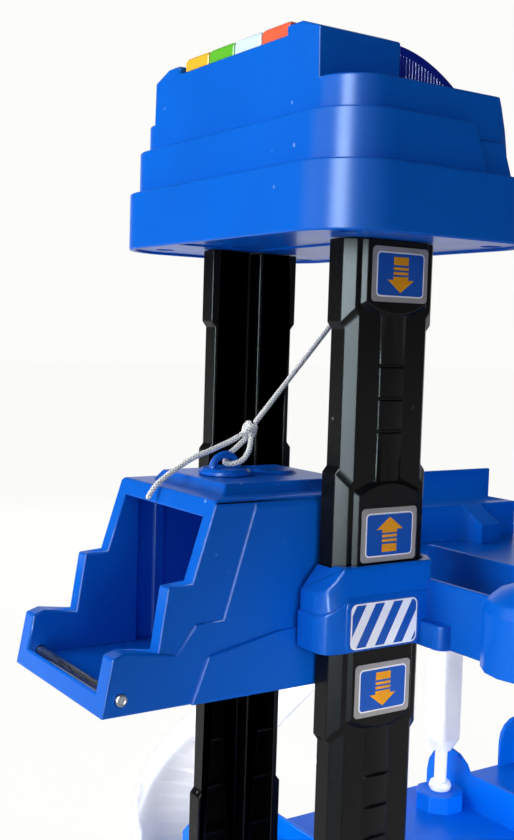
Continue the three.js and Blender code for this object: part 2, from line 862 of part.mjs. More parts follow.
function lowerDeck() {
  const floor = floorTop;
  const plateBottom = floor - floorThick;
  let body = extrudeZ(deckOutline(0), 0, floor);
  body = body.subtract(extrudeZ(deckOutline(wallThick), -cutOverrun, plateBottom));
  const near = deck.nearX + wallThick / 2;
  let landing = block(apron.frontX, near, -apron.halfWidth, apron.halfWidth, 0, apron.top);
  const hollow = block(
    apron.frontX + apron.nose, deck.nearX - wallThick, -apron.halfWidth + wallThick,
    apron.halfWidth - wallThick, -cutOverrun, apron.top - floorThick);
  const nose = outline([
    [apron.frontX - cutOverrun, floorThick / 2], [apron.frontX + apron.nose, apron.top],
    [apron.frontX + apron.nose, apron.top + cutOverrun], [apron.frontX - cutOverrun, apron.top + cutOverrun],
  ]);
  landing = landing.subtract(hollow);
  landing = landing.subtract(extrudeY(nose, -apron.halfWidth - cutOverrun, apron.halfWidth + cutOverrun));
  const foot = block(-collar.reach, near, -collar.outer, -column.innerFace, 0, floor);
  const sides = collarBody(0, floor).add(collarStop(0, floor)).add(innerWall(floor)).add(baseCorner(floor));
  body = cutShaft(body.add(bothSides(sides)), floor, floor + deck.highWall);
  body = body.add(landing).add(bothSides(foot)).add(edgeStops(floor));
  for (const x of [post.nearX, post.farX]) {
    body = body.add(bothSides(octagonBoss(x, -post.y, plateBottom, floor + post.bossRise)));
  }
  return body.add(crossWall(floor)).add(baseRibs(plateBottom));
}

addPiece("upper_deck", upperDeck(), blue);
addPiece("base_deck", lowerDeck(), blue);

// Posts: a square tube above, a tapered neck and a round pin with a foot below
function squareRing(half, z) {
  return [[-half, -half, z], [half, -half, z], [half, half, z], [-half, half, z]];
}

function postBody() {
  const top = upperFloor - floorThick - seatGap;
  const bottom = floorTop + post.bossRise + seatGap;
  const neck = post.tubeBottom - post.neckDrop;
  const tube = loft(
    [squareRing(post.pinRadius, neck), squareRing(post.half, post.tubeBottom), squareRing(post.half, top)]);
  const bore = post.half - post.wall;
  const hollow = block(-bore, bore, -bore, bore, post.tubeBottom, top + cutOverrun);
  const pin = barZ(post.pinRadius, 0, 0, bottom, neck + post.wall, smallSteps);
  const foot = lathe([
    [0, bottom], [post.footRadius - post.wall / 2, bottom], [post.footRadius, bottom + post.footHeight / 2],
    [post.footRadius - post.wall / 2, bottom + post.footHeight], [0, bottom + post.footHeight],
  ], 0, 0, 0, smallSteps);
  return toGeometry(tube.subtract(hollow).add(pin).add(foot));
}

const postShape = postBody();
const postPlaces = [[post.nearX, -post.y], [post.nearX, post.y], [post.farX, -post.y], [post.farX, post.y]];
postPlaces.forEach(([x, y], i) => {
  const mesh = addPiece(`post_${i + 1}`, postShape, white);
  mesh.position.set(x, y, 0);
});

// Ramp: a channel swept down along its path
function rampHeight(share) {
  const eased = share * share * (3 - 2 * share);
  const drop = share + (eased - share) * ramp.easeShare;
  return upperFloor + (ramp.thick - upperFloor) * drop;
}

// A place on the ramp's middle line and the direction across it, as an angle
function rampPlace(share) {
  const quarter = (ramp.bendRadius * Math.PI) / 2;
  const last = ramp.bendRadius * THREE.MathUtils.degToRad(ramp.secondBend);
  const along = share * (quarter + ramp.run + last);
  const run = THREE.MathUtils.clamp(along - quarter, 0, ramp.run);
  const angle = (along - run) / ramp.bendRadius;
  const x = ramp.gateX - ramp.bendRadius - run + ramp.bendRadius * Math.cos(angle);
  return { x, y: deck.halfWidth + seatGap + ramp.bendRadius * Math.sin(angle), angle };
}

function rampRings(section) {
  const rings = [];
  for (let i = 0; i <= ramp.steps; i += 1) {
    const share = i / ramp.steps;
    const { x, y, angle } = rampPlace(share);
    const z = rampHeight(share);
    rings.push(section.map(([across, rise]) => [
      x + across * Math.cos(angle), y + across * Math.sin(angle), z + rise,
    ]));
  }
  return rings;
}

// Rings whose ends are upright planes need their own caps, so the skin is built here
function sweptSkin(rings, section) {
  const count = section.length;
  const indices = [];
  for (let r = 0; r + 1 < rings.length; r += 1) {
    for (let i = 0; i < count; i += 1) {
      const a = r * count + i;
      const b = r * count + ((i + 1) % count);
      indices.push(a, a + count, b, b, a + count, b + count);
    }
  }
  const flat = section.map(([x, y]) => new THREE.Vector2(x, y));
  const last = (rings.length - 1) * count;
  for (const [a, b, c] of THREE.ShapeUtils.triangulateShape(flat, [])) {
    indices.push(a, b, c, last + a, last + c, last + b);
  }
  const geometry = new THREE.BufferGeometry();
  geometry.setAttribute("position", new THREE.Float32BufferAttribute(rings.flat(2), 3));
  geometry.setIndex(indices);
  return toSolid(geometry);
}

const rampHalf = ramp.width / 2;
const channel = [
  [-rampHalf, -ramp.thick], [rampHalf, -ramp.thick], [rampHalf, ramp.wallHeight],
  [rampHalf - ramp.thick, ramp.wallHeight], [rampHalf - ramp.thick, 0], [-rampHalf + ramp.thick, 0],
  [-rampHalf + ramp.thick, ramp.wallHeight], [-rampHalf, ramp.wallHeight],
];
addPiece("ramp", sweptSkin(rampRings(channel), channel), white);

function rampPier() {
  const { x, y, angle } = rampPlace(pier.pathShare);
  const top = rampHeight(pier.pathShare) + ramp.thick;
  const wide = pier.halfWidth + pier.foot;
  const long = pier.halfLength + pier.foot;
  const body = block(-pier.halfLength, pier.halfLength, -pier.halfWidth, pier.halfWidth, 0, top);
  const room = pier.halfLength - pier.wall;
  const left = block(
    -room, room, -pier.halfWidth - cutOverrun, -pier.wall / 2, pier.footThick, top + cutOverrun);
  const right = block(
    -room, room, pier.wall / 2, pier.halfWidth + cutOverrun, pier.footThick, top + cutOverrun);
  const foot = block(-long, long, -wide, wide, 0, pier.footThick);
  const geometry = toGeometry(body.subtract(left).subtract(right).add(foot));
  geometry.rotateZ(angle);
  geometry.translate(x, y, 0);
  const above = [
    [-rampHalf, -ramp.thick - seatGap], [rampHalf, -ramp.thick - seatGap],
    [rampHalf, upperFloor], [-rampHalf, upperFloor],
  ];
  return toSolid(geometry).subtract(sweptSkin(rampRings(above), above));
}

addPiece("ramp_pier", rampPier(), white);

// Lift cabin
const cabinTop = cabin.bottom + cabin.height;
const cabinLength = cabin.rearX - cabin.frontX;

function cabinSide(shares, half) {
  const points = shares.map(([x, z]) => [cabin.rearX - x * cabinLength, cabin.bottom + z * cabin.height]);
  return extrudeY(outline(points), -half, half);
}

// Rounds the long roof edges of everything inside this section
function cabinSection() {
  const half = cabin.halfWidth + cabin.layerProud + cabin.skirtProud;
  const shape = new THREE.Shape();
  const shoulder = cabinTop - cabin.roofCorner;
  const roofHalf = cabin.halfWidth + cabin.layerProud;
  shape.moveTo(-half, cabin.bottom - cutOverrun);
  shape.lineTo(half, cabin.bottom - cutOverrun);
  shape.lineTo(half, shoulder - cabin.roofCorner);
  shape.lineTo(roofHalf, shoulder);
  shape.absarc(roofHalf - cabin.roofCorner, shoulder, cabin.roofCorner, 0, Math.PI / 2);
  shape.lineTo(-roofHalf + cabin.roofCorner, cabinTop);
  shape.absarc(-roofHalf + cabin.roofCorner, shoulder, cabin.roofCorner, Math.PI / 2, Math.PI);
  shape.lineTo(-half, shoulder - cabin.roofCorner);
  shape.closePath();
  return extrudeX(shape, cabin.frontX - cutOverrun, cabin.rearX + cutOverrun);
}

const cabinCavity = {
  half: cabin.halfWidth - cabin.wall,
  windowHalf: cabin.halfWidth - cabin.wall - cabin.jamb,
  floor: cabin.bottom + cabin.ledge,
  jambX: cabin.jambX,
};

function cabinHollow() {
  const { half, windowHalf, floor, jambX } = cabinCavity;
  const rear = cabin.rearX - cabin.wall;
  const roof = cabinTop - cabin.roofThick;
  const main = block(jambX, rear, -half, half, floor, roof);
  const window = block(
    cabin.frontX - cutOverrun, jambX + cutOverrun, -windowHalf, windowHalf,
    cabin.bottom + cabin.frontLip, roof - cabin.windowTop + cabin.roofThick);
  const tray = block(
    cabin.frontX + cabin.frontLipThick, jambX + cutOverrun, -windowHalf, windowHalf,
    floor, cabin.bottom + cabin.frontLip + cutOverrun);
  const door = block(
    rear - cutOverrun, cabin.rearX + cutOverrun, -cabin.rearHalf, cabin.rearHalf, floor,
    cabinTop - cabin.rearTop);
  const under = block(
    cabin.frontX + cabin.frontLipThick + cabin.ledgeReach, rear - cabin.ledgeReach,
    -windowHalf + cabin.ledgeReach, windowHalf - cabin.ledgeReach, cabin.bottom - cutOverrun,
    floor + cutOverrun);
  return unite([main, window, tray, door, under]);
}

function raisedRoof() {
  const z = cabinTop - cabin.roofThick / 2;
  const top = cabinTop + roofPlate.rise;
  const ring = (inset, level) => [
    [roofPlate.frontX + inset, -roofPlate.half + inset, level],
    [roofPlate.rearX - inset, -roofPlate.half + inset, level],
    [roofPlate.rearX - inset, roofPlate.half - inset, level],
    [roofPlate.frontX + inset, roofPlate.half - inset, level],
  ];
  return loft([ring(0, z), ring(0, cabinTop), ring(roofPlate.slope, top)]);
}

function cabinShell() {
  let body = cabinSide(cabinSideShares, cabin.halfWidth);
  body = body.add(cabinSide(cabinLayerShares, cabin.halfWidth + cabin.layerProud));
  body = body.add(cabinSide(cabinSkirtShares, cabin.halfWidth + cabin.layerProud + cabin.skirtProud));
  body = body.intersect(cabinSection());
  body = body.add(raisedRoof()).subtract(cabinHollow());
  const rib = block(
    pilaster.x - pilaster.half, pilaster.x + pilaster.half, -cabinCavity.half - cabin.wall / 2,
    -cabinCavity.half + pilaster.proud, cabinCavity.floor + cabin.floorThick + seatGap * 2,
    cabinTop - cabin.roofThick / 2);
  const reach = cabin.halfWidth + cabin.layerProud + guideTab.reach;
  const tabAt = (z) => block(
    -guideTab.half, guideTab.half, -reach, -cabinCavity.half - cabin.wall / 2, z, z + guideTab.height);
  const tabs = tabAt(cabin.bottom + guideTab.lowRise).add(
    tabAt(cabinTop - guideTab.highDrop - guideTab.height));
  body = body.add(bothSides(rib.add(tabs)));
  const z = cabin.bottom + sidePin.rise;
  const hole = barY(sidePin.radius + seatGap, sidePin.x, z, -cabin.halfWidth - cutOverrun,
    cabin.halfWidth + cutOverrun, smallSteps);
  const plateTop = cabinTop + roofPlate.rise;
  const boss = lathe([
    [0, cabinTop], [hook.bossRadius, cabinTop], [hook.bossRadius, plateTop],
    [hook.bossRadius - hook.bossRise, plateTop + hook.bossRise], [0, plateTop + hook.bossRise],
  ], hook.bossX, 0, 0, roundSteps);
  return body.subtract(hole).add(boss);
}

function cabinFloor() {
  const { half, windowHalf, floor, jambX } = cabinCavity;
  const front = sidePin.x + sidePin.radius + seatGap;
  const wide = half - seatGap;
  const narrow = windowHalf - seatGap;
  const rear = cabin.rearX - cabin.wall - seatGap;
  const doorHalf = cabin.rearHalf - seatGap;
  const halfLine = [
    [front, narrow], [jambX + seatGap, narrow], [jambX + seatGap, wide], [rear, wide],
    [rear, doorHalf], [cabin.rearX - seatGap, doorHalf],
  ];
  const mirrored = halfLine.map(([x, y]) => [x, -y]).reverse();
  return extrudeZ(
    outline([...mirrored, ...halfLine].reverse()), floor + seatGap, floor + seatGap + cabin.floorThick);
}

function floorPin() {
  const z = cabin.bottom + sidePin.rise;
  const outer = cabin.halfWidth + cabin.layerProud + seatGap / 2;
  const pin = barY(sidePin.radius, sidePin.x, z, -outer, outer, smallSteps);
  const head = barY(sidePin.headRadius, sidePin.x, z, outer, outer + sidePin.headThick, smallSteps);
  return pin.add(bothSides(mirrorY(head)));
}

addPiece("cabin_shell", cabinShell(), blue);
addPiece("cabin_floor", cabinFloor(), blue);
addPiece("floor_pin", floorPin(), steel);

// The hook that the cord is tied to: an arch on a round flange
function cordHook() {
  const z0 = cabinTop + roofPlate.rise + seatGap;
  const z1 = z0 + hook.flangeRise;
  const flange = lathe([
    [0, z0], [hook.flangeRadius, z0], [hook.flangeRadius, z0 + hook.flangeRise / 2],
    [hook.flangeRadius - hook.flangeRise / 2, z1], [0, z1],
  ], hook.x, 0, 0, roundSteps);
  const foot = z1 - hook.flangeRise / 2;
  const legTop = z1 - hook.archSink;
  const points = [];
  for (let i = 0; i <= hook.sides; i += 1) {
    const angle = Math.PI - (Math.PI * i) / hook.sides;
    points.push([hook.x + hook.archHalf * Math.cos(angle), legTop + hook.archHalf * Math.sin(angle)]);
  }
  const line = [[hook.x - hook.archHalf, foot], ...points, [hook.x + hook.archHalf, foot]];
  const curve = new THREE.CatmullRomCurve3(line.map(([x, z]) => new THREE.Vector3(x, 0, z)));
  return flange.add(tube(curve, hook.section, hook.sides, hook.sides * 2));
}

// A round tube along a curve
function tube(curve, radius, sides, steps) {
  const section = new THREE.Shape();
  for (let i = 0; i < sides; i += 1) {
    const angle = (2 * Math.PI * i) / sides;
    const point = [radius * Math.cos(angle), radius * Math.sin(angle)];
    if (i === 0) section.moveTo(...point);
    else section.lineTo(...point);
  }
  const geometry = new THREE.ExtrudeGeometry(section, { extrudePath: curve, steps, bevelEnabled: false });
  return toSolid(geometry);
}

addPiece("cord_hook", cordHook(), blue);

// Cord: from the drum down to the eyelet, taut to the knot, round the hook, and a tail
function cordPiece(name, points, steps) {
  const curve = new THREE.CatmullRomCurve3(points.map(([x, y, z]) => new THREE.Vector3(x, y, z)));
  addPiece(name, tube(curve, cordRadius, cordSides, steps), cordWhite);
}

cordPiece("cord_lead", leadPoints, cordSteps.lead);
cordPiece("hoist_cord", hoistPoints, cordSteps.hoist);
cordPiece("cord_loop", loopPoints, cordSteps.loop);
cordPiece("cord_tail", tailPoints, cordSteps.tail);

const knotBall = new THREE.IcosahedronGeometry(knotRadius, 2);
knotBall.translate(...knotPlace);
addPiece("cord_knot", toSolid(knotBall), cordWhite);

// Head
const tier1Top = head.bottom + head.firstRise;
const tier2Top = tier1Top + head.secondRise;
const tier3Top = tier2Top + head.thirdRise;
const consoleTop = tier3Top + head.consoleRise;
const headFrontX = -head.halfX + 2 * head.tierStep;
const consoleRearX = headFrontX + head.consoleDepth;
const lensRearX = head.halfX - lens.rearIn;
const winchX = head.halfX - winch.rearIn;
const bayX = -head.halfX + head.wall + batteryBay.wallGap + batteryBay.half;
const boardX = headFrontX + head.wall + board.frontGap + board.halfX;
const ledX = (consoleRearX + lensRearX) / 2;
const speakerX = winchX - speaker.behindWinch;
const speakerY = -head.halfY + head.wall + speaker.wallGap + speaker.radius;

function tierOutline(step, inset, endX) {
  const gap = step * head.tierStep + inset;
  return roundedOutline(-head.halfX + gap, endX, -head.halfY + gap, head.halfY - gap, head.corner - gap);
}

// Keeps what lies before an end face that leans back towards the lift
function slantedEnd(endX, z0, z1) {
  const lean = (z1 - z0) * head.endSlantShare;
  const reach = head.halfY + cutOverrun;
  const under = head.bottom - 2 * cutOverrun;
  return extrudeY(outline([
    [-head.halfX - cutOverrun, under], [endX, under], [endX, z0], [endX - lean, z1],
    [endX - lean, z1 + cutOverrun], [-head.halfX - cutOverrun, z1 + cutOverrun],
  ]), -reach, reach);
}

// The three tiers and the block beside the second, each drawn in by an inset
function tiers(inset, bottom) {
  const wallTop = (z) => z - inset;
  const first = extrudeZ(tierOutline(0, inset, head.halfX - inset), bottom, wallTop(tier1Top));
  let second = extrudeZ(tierOutline(1, inset, head.halfX - head.tierStep), bottom, wallTop(tier2Top));
  second = second.intersect(slantedEnd(head.halfX - head.secondEndIn - inset, tier1Top, tier2Top));
  let third = extrudeZ(tierOutline(2, inset, head.halfX - 2 * head.tierStep), bottom, wallTop(tier3Top));
  third = third.intersect(slantedEnd(head.halfX - head.thirdEndIn - inset, tier1Top, tier3Top));
  return unite([first, second, third]);
}

function sideBlock() {
  const plane = head.halfY - 2 * head.tierStep;
  const z1 = tier1Top + head.blockRise;
  const shape = block(
    0, head.halfX, -plane - head.blockProud, -plane + head.wall / 2, tier1Top - head.wall / 2, z1);
  return bothSides(shape.intersect(slantedEnd(head.halfX - head.blockEndIn, tier1Top, z1)));
}

// Each screw's place, and the ceiling that its post hangs from
const screwPlaces = [
  [-head.halfX + screw.frontIn, head.halfY - screw.frontSide, tier3Top - head.wall / 2],
  [head.halfX - screw.rearIn, head.halfY - screw.rearSide, tier1Top - head.wall / 2],
];

const wellFloor = consoleTop - keyWell.floorDrop;
const wellFront = headFrontX + keyWell.setback;
const wellRear = wellFront + keyWell.depth;

// The console's section across the head, drawn in by an inset
function consoleSection(inset, bottom) {
  const half = head.consoleHalfY - inset;
  const top = consoleTop - inset;
  const low = top - head.consoleEndDrop;
  return outline([
    [-half, bottom], [half, bottom], [half, low], [head.consoleFlatHalf, top],
    [-head.consoleFlatHalf, top], [-half, low],
  ]);
}

function consoleBody() {
  return extrudeX(consoleSection(0, tier3Top - head.wall), headFrontX, consoleRearX);
}

function consoleHollow() {
  const x0 = headFrontX + head.wall;
  const x1 = consoleRearX - head.wall;
  const ledge = tier3Top - board.ledgeDrop;
  const upper = extrudeX(consoleSection(head.wall, ledge), x0, x1);
  const neck = block(
    x0, x1, -board.neckHalf, board.neckHalf, tier3Top - head.wall - cutOverrun, ledge + cutOverrun);
  return upper.add(neck);
}

function keyPlaces() {
  return [1.5, 0.5, -0.5, -1.5].map((share) => share * keys.pitch);
}

function wellCut() {
  const half = keyWell.half;
  let cut = block(wellFront, wellRear, -half, half, wellFloor, consoleTop + cutOverrun);
  const frontTop = consoleTop - keyWell.wallDrop;
  cut = cut.add(
    block(headFrontX - cutOverrun, wellFront + cutOverrun, -half, half, frontTop, consoleTop + cutOverrun));
  const x = (wellFront + wellRear) / 2;
  const stem = keys.stemHalf + seatGap;
  for (const y of keyPlaces()) {
    cut = cut.add(block(
      x - stem, x + stem, y - stem, y + stem, wellFloor - keyWell.floorThick - cutOverrun,
      wellFloor + cutOverrun));
  }
  return cut;
}

function headShell() {
  const inside = tiers(head.wall, head.bottom - cutOverrun);
  let body = tiers(0, head.bottom).add(sideBlock()).subtract(inside);
  body = body.add(consoleBody()).subtract(consoleHollow());
  const half = keyWell.half + keyWell.wall;
  const wellBody = block(
    headFrontX + head.wall / 2, wellRear + keyWell.wall, -half, half, wellFloor - keyWell.floorThick,
    consoleTop - head.wall / 2);
  body = body.add(wellBody).subtract(wellCut());
  const light = barZ(
    led.radius + seatGap, ledX, 0, tier3Top - head.wall - cutOverrun, tier3Top + cutOverrun, smallSteps);
  body = body.subtract(light);
  for (const [x, y, ceiling] of screwPlaces) {
    const z0 = baseTop + screw.bossRise + seatGap;
    const post = barZ(screwWell.post, x, -y, z0, ceiling, smallSteps);
    const bore = barZ(screwWell.postBore, x, -y, z0 - cutOverrun, z0 + screwWell.boreDepth, smallSteps);
    body = body.add(bothSides(post)).subtract(bothSides(bore));
  }
  return body;
}

const baseBottom = head.bottom + headBase.recess;
const baseTop = baseBottom + headBase.thick;
const cordX = winchX + winch.coreRadius + cordRadius;

function headBasePlate() {
  const gap = head.wall + seatGap;
  let body = extrudeZ(tierOutline(0, gap, head.halfX - gap), baseBottom, baseTop);
  const bay = block(
    bayX - batteryBay.half, bayX + batteryBay.half, -batteryBay.halfLength, batteryBay.halfLength,
    baseBottom - cutOverrun, baseTop + cutOverrun);
  body = body.subtract(bay);
  body = body.subtract(
    barZ(eyelet.radius + seatGap, cordX, 0, baseBottom - cutOverrun, baseTop + cutOverrun, smallSteps));
  for (const [x, y] of screwPlaces) {
    const boss = barZ(
      screw.bossRadius, x, -y, baseTop - headBase.thick / 2, baseTop + screw.bossRise, smallSteps);
    const well = barZ(
      screwWell.radius, x, -y, baseBottom - cutOverrun, baseBottom + screwWell.depth, smallSteps);
    const hole = barZ(
      screw.radius + seatGap, x, -y, baseBottom, baseTop + screw.bossRise + cutOverrun, smallSteps);
    body = body.add(bothSides(boss)).subtract(bothSides(well.add(hole)));
  }
  return body;
}

addPiece("head_shell", headShell(), blue);
addPiece("head_base", headBasePlate(), blue);

function screwBody() {
  const top = screwWell.depth - seatGap;
  return toGeometry(lathe([
    [0, top - screw.headThick], [screw.headRadius, top - screw.headThick], [screw.headRadius, top],
    [screw.radius, top], [screw.radius, top + screw.length - screw.radius], [0, top + screw.length],
  ], 0, 0, baseBottom, smallSteps));
}

const screwShape = screwBody();
screwPlaces.flatMap(([x, y]) => [[x, -y], [x, y]]).forEach(([x, y], i) => {
  const mesh = addPiece(`head_screw_${i + 1}`, screwShape, steel);
  mesh.position.set(x, y, 0);
});

// Keys with bevelled tops and a stem down to the switch mat
function keyBody(y) {
  const x0 = wellFront + keys.side;
  const x1 = wellRear - keys.side;
  const half = (keys.pitch - keys.gap) / 2;
  const bottom = wellFloor + keys.travel + seatGap;
  const top = consoleTop + keys.proud;
  const ring = (inset, z) => [
    [x0 + inset, y - half + inset, z], [x1 - inset, y - half + inset, z],
    [x1 - inset, y + half - inset, z], [x0 + inset, y + half - inset, z],
  ];
  const cap = loft([ring(0, bottom), ring(0, top - keys.bevel), ring(keys.bevel, top)]);
  const x = (wellFront + wellRear) / 2;
  const stem = block(x - keys.stemHalf, x + keys.stemHalf, y - keys.stemHalf, y + keys.stemHalf,
    stemBottom, bottom + keys.bevel);
  return cap.add(stem);
}

const boardBottom = tier3Top - board.ledgeDrop + seatGap;
const matBottom = boardBottom + board.thick + seatGap;
const stemBottom = matBottom + board.matThick + seatGap + keys.travel;
const keyPieces = [["key_yellow", yellow], ["key_green", green], ["key_white", paleWhite], ["key_red", red]];
keyPieces.forEach(([name, material], i) => addPiece(name, keyBody(keyPlaces()[i]), material));

addPiece("circuit_board", block(
  boardX - board.halfX, boardX + board.halfX, -board.halfY, board.halfY, boardBottom,
  boardBottom + board.thick), boardGreen);
addPiece("switch_mat", block(
  boardX - board.halfX, boardX + board.halfX, -board.matHalf, board.matHalf, matBottom,
  matBottom + board.matThick), rubber);

// Beacon lens: a clear hood behind the console, open below, with a light under it
function lensOutline(inset) {
  const x0 = consoleRearX + seatGap + inset;
  const x1 = lensRearX - inset;
  const z0 = tier3Top + seatGap;
  const top = tier3Top + lens.rise - inset;
  const shape = new THREE.Shape();
  shape.moveTo(x0, z0);
  shape.lineTo(x1, z0);
  shape.lineTo(x1, tier3Top + lens.rearRise - inset);
  shape.quadraticCurveTo(x0 + (x1 - x0) * lens.shoulderShare, top, x0, top);
  shape.closePath();
  return shape;
}

function beaconLens() {
  const outer = extrudeY(lensOutline(0), -lens.halfY, lens.halfY);
  const inner = extrudeY(lensOutline(lens.wall), -lens.halfY + lens.wall, lens.halfY - lens.wall);
  const open = block(
    consoleRearX + seatGap + lens.wall, lensRearX - lens.wall,
    -lens.halfY + lens.wall, lens.halfY - lens.wall, tier3Top - cutOverrun, tier3Top + seatGap + lens.wall);
  return outer.subtract(inner).subtract(open);
}

addPiece("beacon_lens", beaconLens(), violet);
const ledTop = tier3Top - head.wall - seatGap;
addPiece("beacon_led", lathe([
  [0, ledTop - led.flangeRise], [led.flange, ledTop - led.flangeRise], [led.flange, ledTop],
  [led.radius, ledTop], [led.radius, ledTop + led.rise - led.radius],
  [led.radius / 2, ledTop + led.rise - led.radius / 4], [0, ledTop + led.rise],
], ledX, 0, 0, smallSteps), yellow);

// Batteries in an open box, closed from below by a lid
const bayBottom = baseTop + seatGap;
function batteryBox() {
  const { half, halfLength, rise, wall } = batteryBay;
  const outer = block(bayX - half, bayX + half, -halfLength, halfLength, bayBottom, bayBottom + rise + wall);
  const inner = block(
    bayX - half + wall, bayX + half - wall, -halfLength + wall, halfLength - wall, bayBottom - cutOverrun,
    bayBottom + rise);
  return outer.subtract(inner);
}

function batteryBody(side) {
  const x = bayX + (side * battery.pitch) / 2;
  const z = bayBottom + battery.radius + seatGap;
  const half = battery.length / 2;
  const can = barY(battery.radius, x, z, -half, half, battery.steps);
  const nub = barY(battery.capRadius, x, z, half - battery.capRise, half + battery.capRise, smallSteps);
  return side > 0 ? can.add(nub) : mirrorY(can.add(nub));
}

addPiece("battery_box", batteryBox(), black);
addPiece("battery_1", batteryBody(1), brass);
addPiece("battery_2", batteryBody(-1), brass);
addPiece("battery_lid", block(
  bayX - batteryBay.half + seatGap, bayX + batteryBay.half - seatGap,
  -batteryBay.halfLength + seatGap, batteryBay.halfLength - seatGap, baseTop - batteryLid.thick, baseTop),
  blue);

// Speaker on the base plate
addPiece("speaker", lathe([
  [0, 0], [speaker.radius, 0], [speaker.radius, speaker.rise / 2], [speaker.magnetRadius, speaker.rise],
  [speaker.magnetRadius, speaker.rise + speaker.magnetRise], [0, speaker.rise + speaker.magnetRise],
], speakerX, speakerY, baseTop + seatGap, roundSteps), steel);

// Winch
const winchZ = head.bottom + winch.rise;

// Involute teeth about the world's Y axis
function toothedOutline(teeth, phase) {
  const pitchRadius = (gear.module * teeth) / 2;
  const baseRadius = pitchRadius * Math.cos(THREE.MathUtils.degToRad(gear.pressureAngle));
  const root = pitchRadius - gear.dedendumShare * gear.module;
  const tip = pitchRadius + gear.addendumShare * gear.module;
  const involute = (radius) => {
    const ratio = Math.sqrt(Math.max((radius / baseRadius) ** 2 - 1, 0));
    return ratio - Math.atan(ratio);
  };
  const halfAtPitch = Math.PI / (2 * teeth) - gear.backlash / (4 * pitchRadius);
  const halfAngle = (radius) => halfAtPitch + involute(pitchRadius) - involute(radius);
  const flank = [root, pitchRadius, tip];
  const shape = new THREE.Shape();
  for (let i = 0; i < teeth; i += 1) {
    const middle = (2 * Math.PI * i) / teeth + phase;
    const up = flank.map((radius) => [radius, middle - halfAngle(radius)]);
    const down = flank.map((radius) => [radius, middle + halfAngle(radius)]).reverse();
    [...up, ...down].forEach(([radius, angle], step) => {
      const point = [radius * Math.cos(angle), radius * Math.sin(angle)];
      if (i === 0 && step === 0) shape.moveTo(...point);
      else shape.lineTo(...point);
    });
  }
  shape.closePath();
  return shape;
}

const gearStart = winch.drumHalf + winch.flangeThick;
const pinionX = winchX - (gear.module * (gear.drumTeeth + gear.pinionTeeth)) / 2;

function placed(solid, x, z) {
  const geometry = toGeometry(solid);
  geometry.translate(x, 0, z);
  return toSolid(geometry);
}

function drum() {
  const bore = winch.shaftRadius + winch.boreGap;
  const { drumHalf, flangeThick, flangeRadius, coreRadius } = winch;
  const end = drumHalf + flangeThick;
  const core = barY(coreRadius, winchX, winchZ, -end, end);
  const low = barY(flangeRadius, winchX, winchZ, -end, -drumHalf);
  const high = barY(flangeRadius, winchX, winchZ, drumHalf, end);
  const wheel = placed(extrudeY(toothedOutline(gear.drumTeeth, 0), gearStart - flangeThick / 2,
    gearStart + gear.width), winchX, winchZ);
  const hole = barY(bore, winchX, winchZ, -end - cutOverrun, gearStart + gear.width + cutOverrun);
  return unite([core, low, high, wheel]).subtract(hole);
}

addPiece("winch_drum", drum(), white);
addPiece("winch_shaft", barY(winch.shaftRadius, winchX, winchZ, -winch.shaftHalf, winch.shaftHalf), steel);

function winchBracket(side) {
  const half = winch.bracketHalf;
  const shape = new THREE.Shape();
  shape.moveTo(winchX - half, baseTop + seatGap);
  shape.lineTo(winchX + half, baseTop + seatGap);
  shape.lineTo(winchX + half, winchZ);
  shape.absarc(winchX, winchZ, half, 0, Math.PI);
  shape.closePath();
  const plate = extrudeY(shape, -winch.bracketY - winch.bracketThick, -winch.bracketY);
  const hole = barY(
    winch.shaftRadius + winch.boreGap, winchX, winchZ,
    -winch.bracketY - winch.bracketThick - cutOverrun, -winch.bracketY + cutOverrun);
  const solid = plate.subtract(hole);
  return side < 0 ? solid : mirrorY(solid);
}

addPiece("winch_bracket_front", winchBracket(-1), white);
addPiece("winch_bracket_rear", winchBracket(1), white);

// The pinion's teeth stand in the gaps of the drum gear, half a tooth turned
function pinion() {
  const phase = Math.PI / gear.pinionTeeth;
  const wheel = placed(
    extrudeY(toothedOutline(gear.pinionTeeth, phase), gearStart, gearStart + gear.width), pinionX, winchZ);
  const bore = motor.shaftRadius + winch.boreGap;
  return wheel.subtract(
    barY(bore, pinionX, winchZ, gearStart - cutOverrun, gearStart + gear.width + cutOverrun, smallSteps));
}

function motorBody() {
  const joined = motor.start + motor.bossLength;
  const can = barY(motor.radius, pinionX, winchZ, motor.start, motor.start + motor.length);
  const flats = block(
    pinionX - motor.radius - cutOverrun, pinionX + motor.radius + cutOverrun,
    motor.start - cutOverrun, motor.start + motor.length + cutOverrun, winchZ - motor.flat,
    winchZ + motor.flat);
  const nose = barY(motor.bossRadius, pinionX, winchZ, motor.start - motor.bossLength, joined, smallSteps);
  const shaft = barY(motor.shaftRadius, pinionX, winchZ, gearStart, joined, smallSteps);
  return unite([can.intersect(flats), nose, shaft]);
}

addPiece("motor_pinion", pinion(), brass);
addPiece("motor", motorBody(), steel);

// The clip that straps the motor down to the base
function motorClip() {
  const y0 = motor.start + (motor.length - clip.length) / 2;
  const room = motor.radius + seatGap;
  const half = room + clip.wall;
  const roof = winchZ + motor.flat + seatGap;
  const body = block(
    pinionX - half, pinionX + half, y0, y0 + clip.length, baseTop + seatGap, roof + clip.wall);
  return body.subtract(block(
    pinionX - room, pinionX + room, y0 - cutOverrun, y0 + clip.length + cutOverrun, baseTop - cutOverrun,
    roof));
}

addPiece("motor_clip", motorClip(), white);

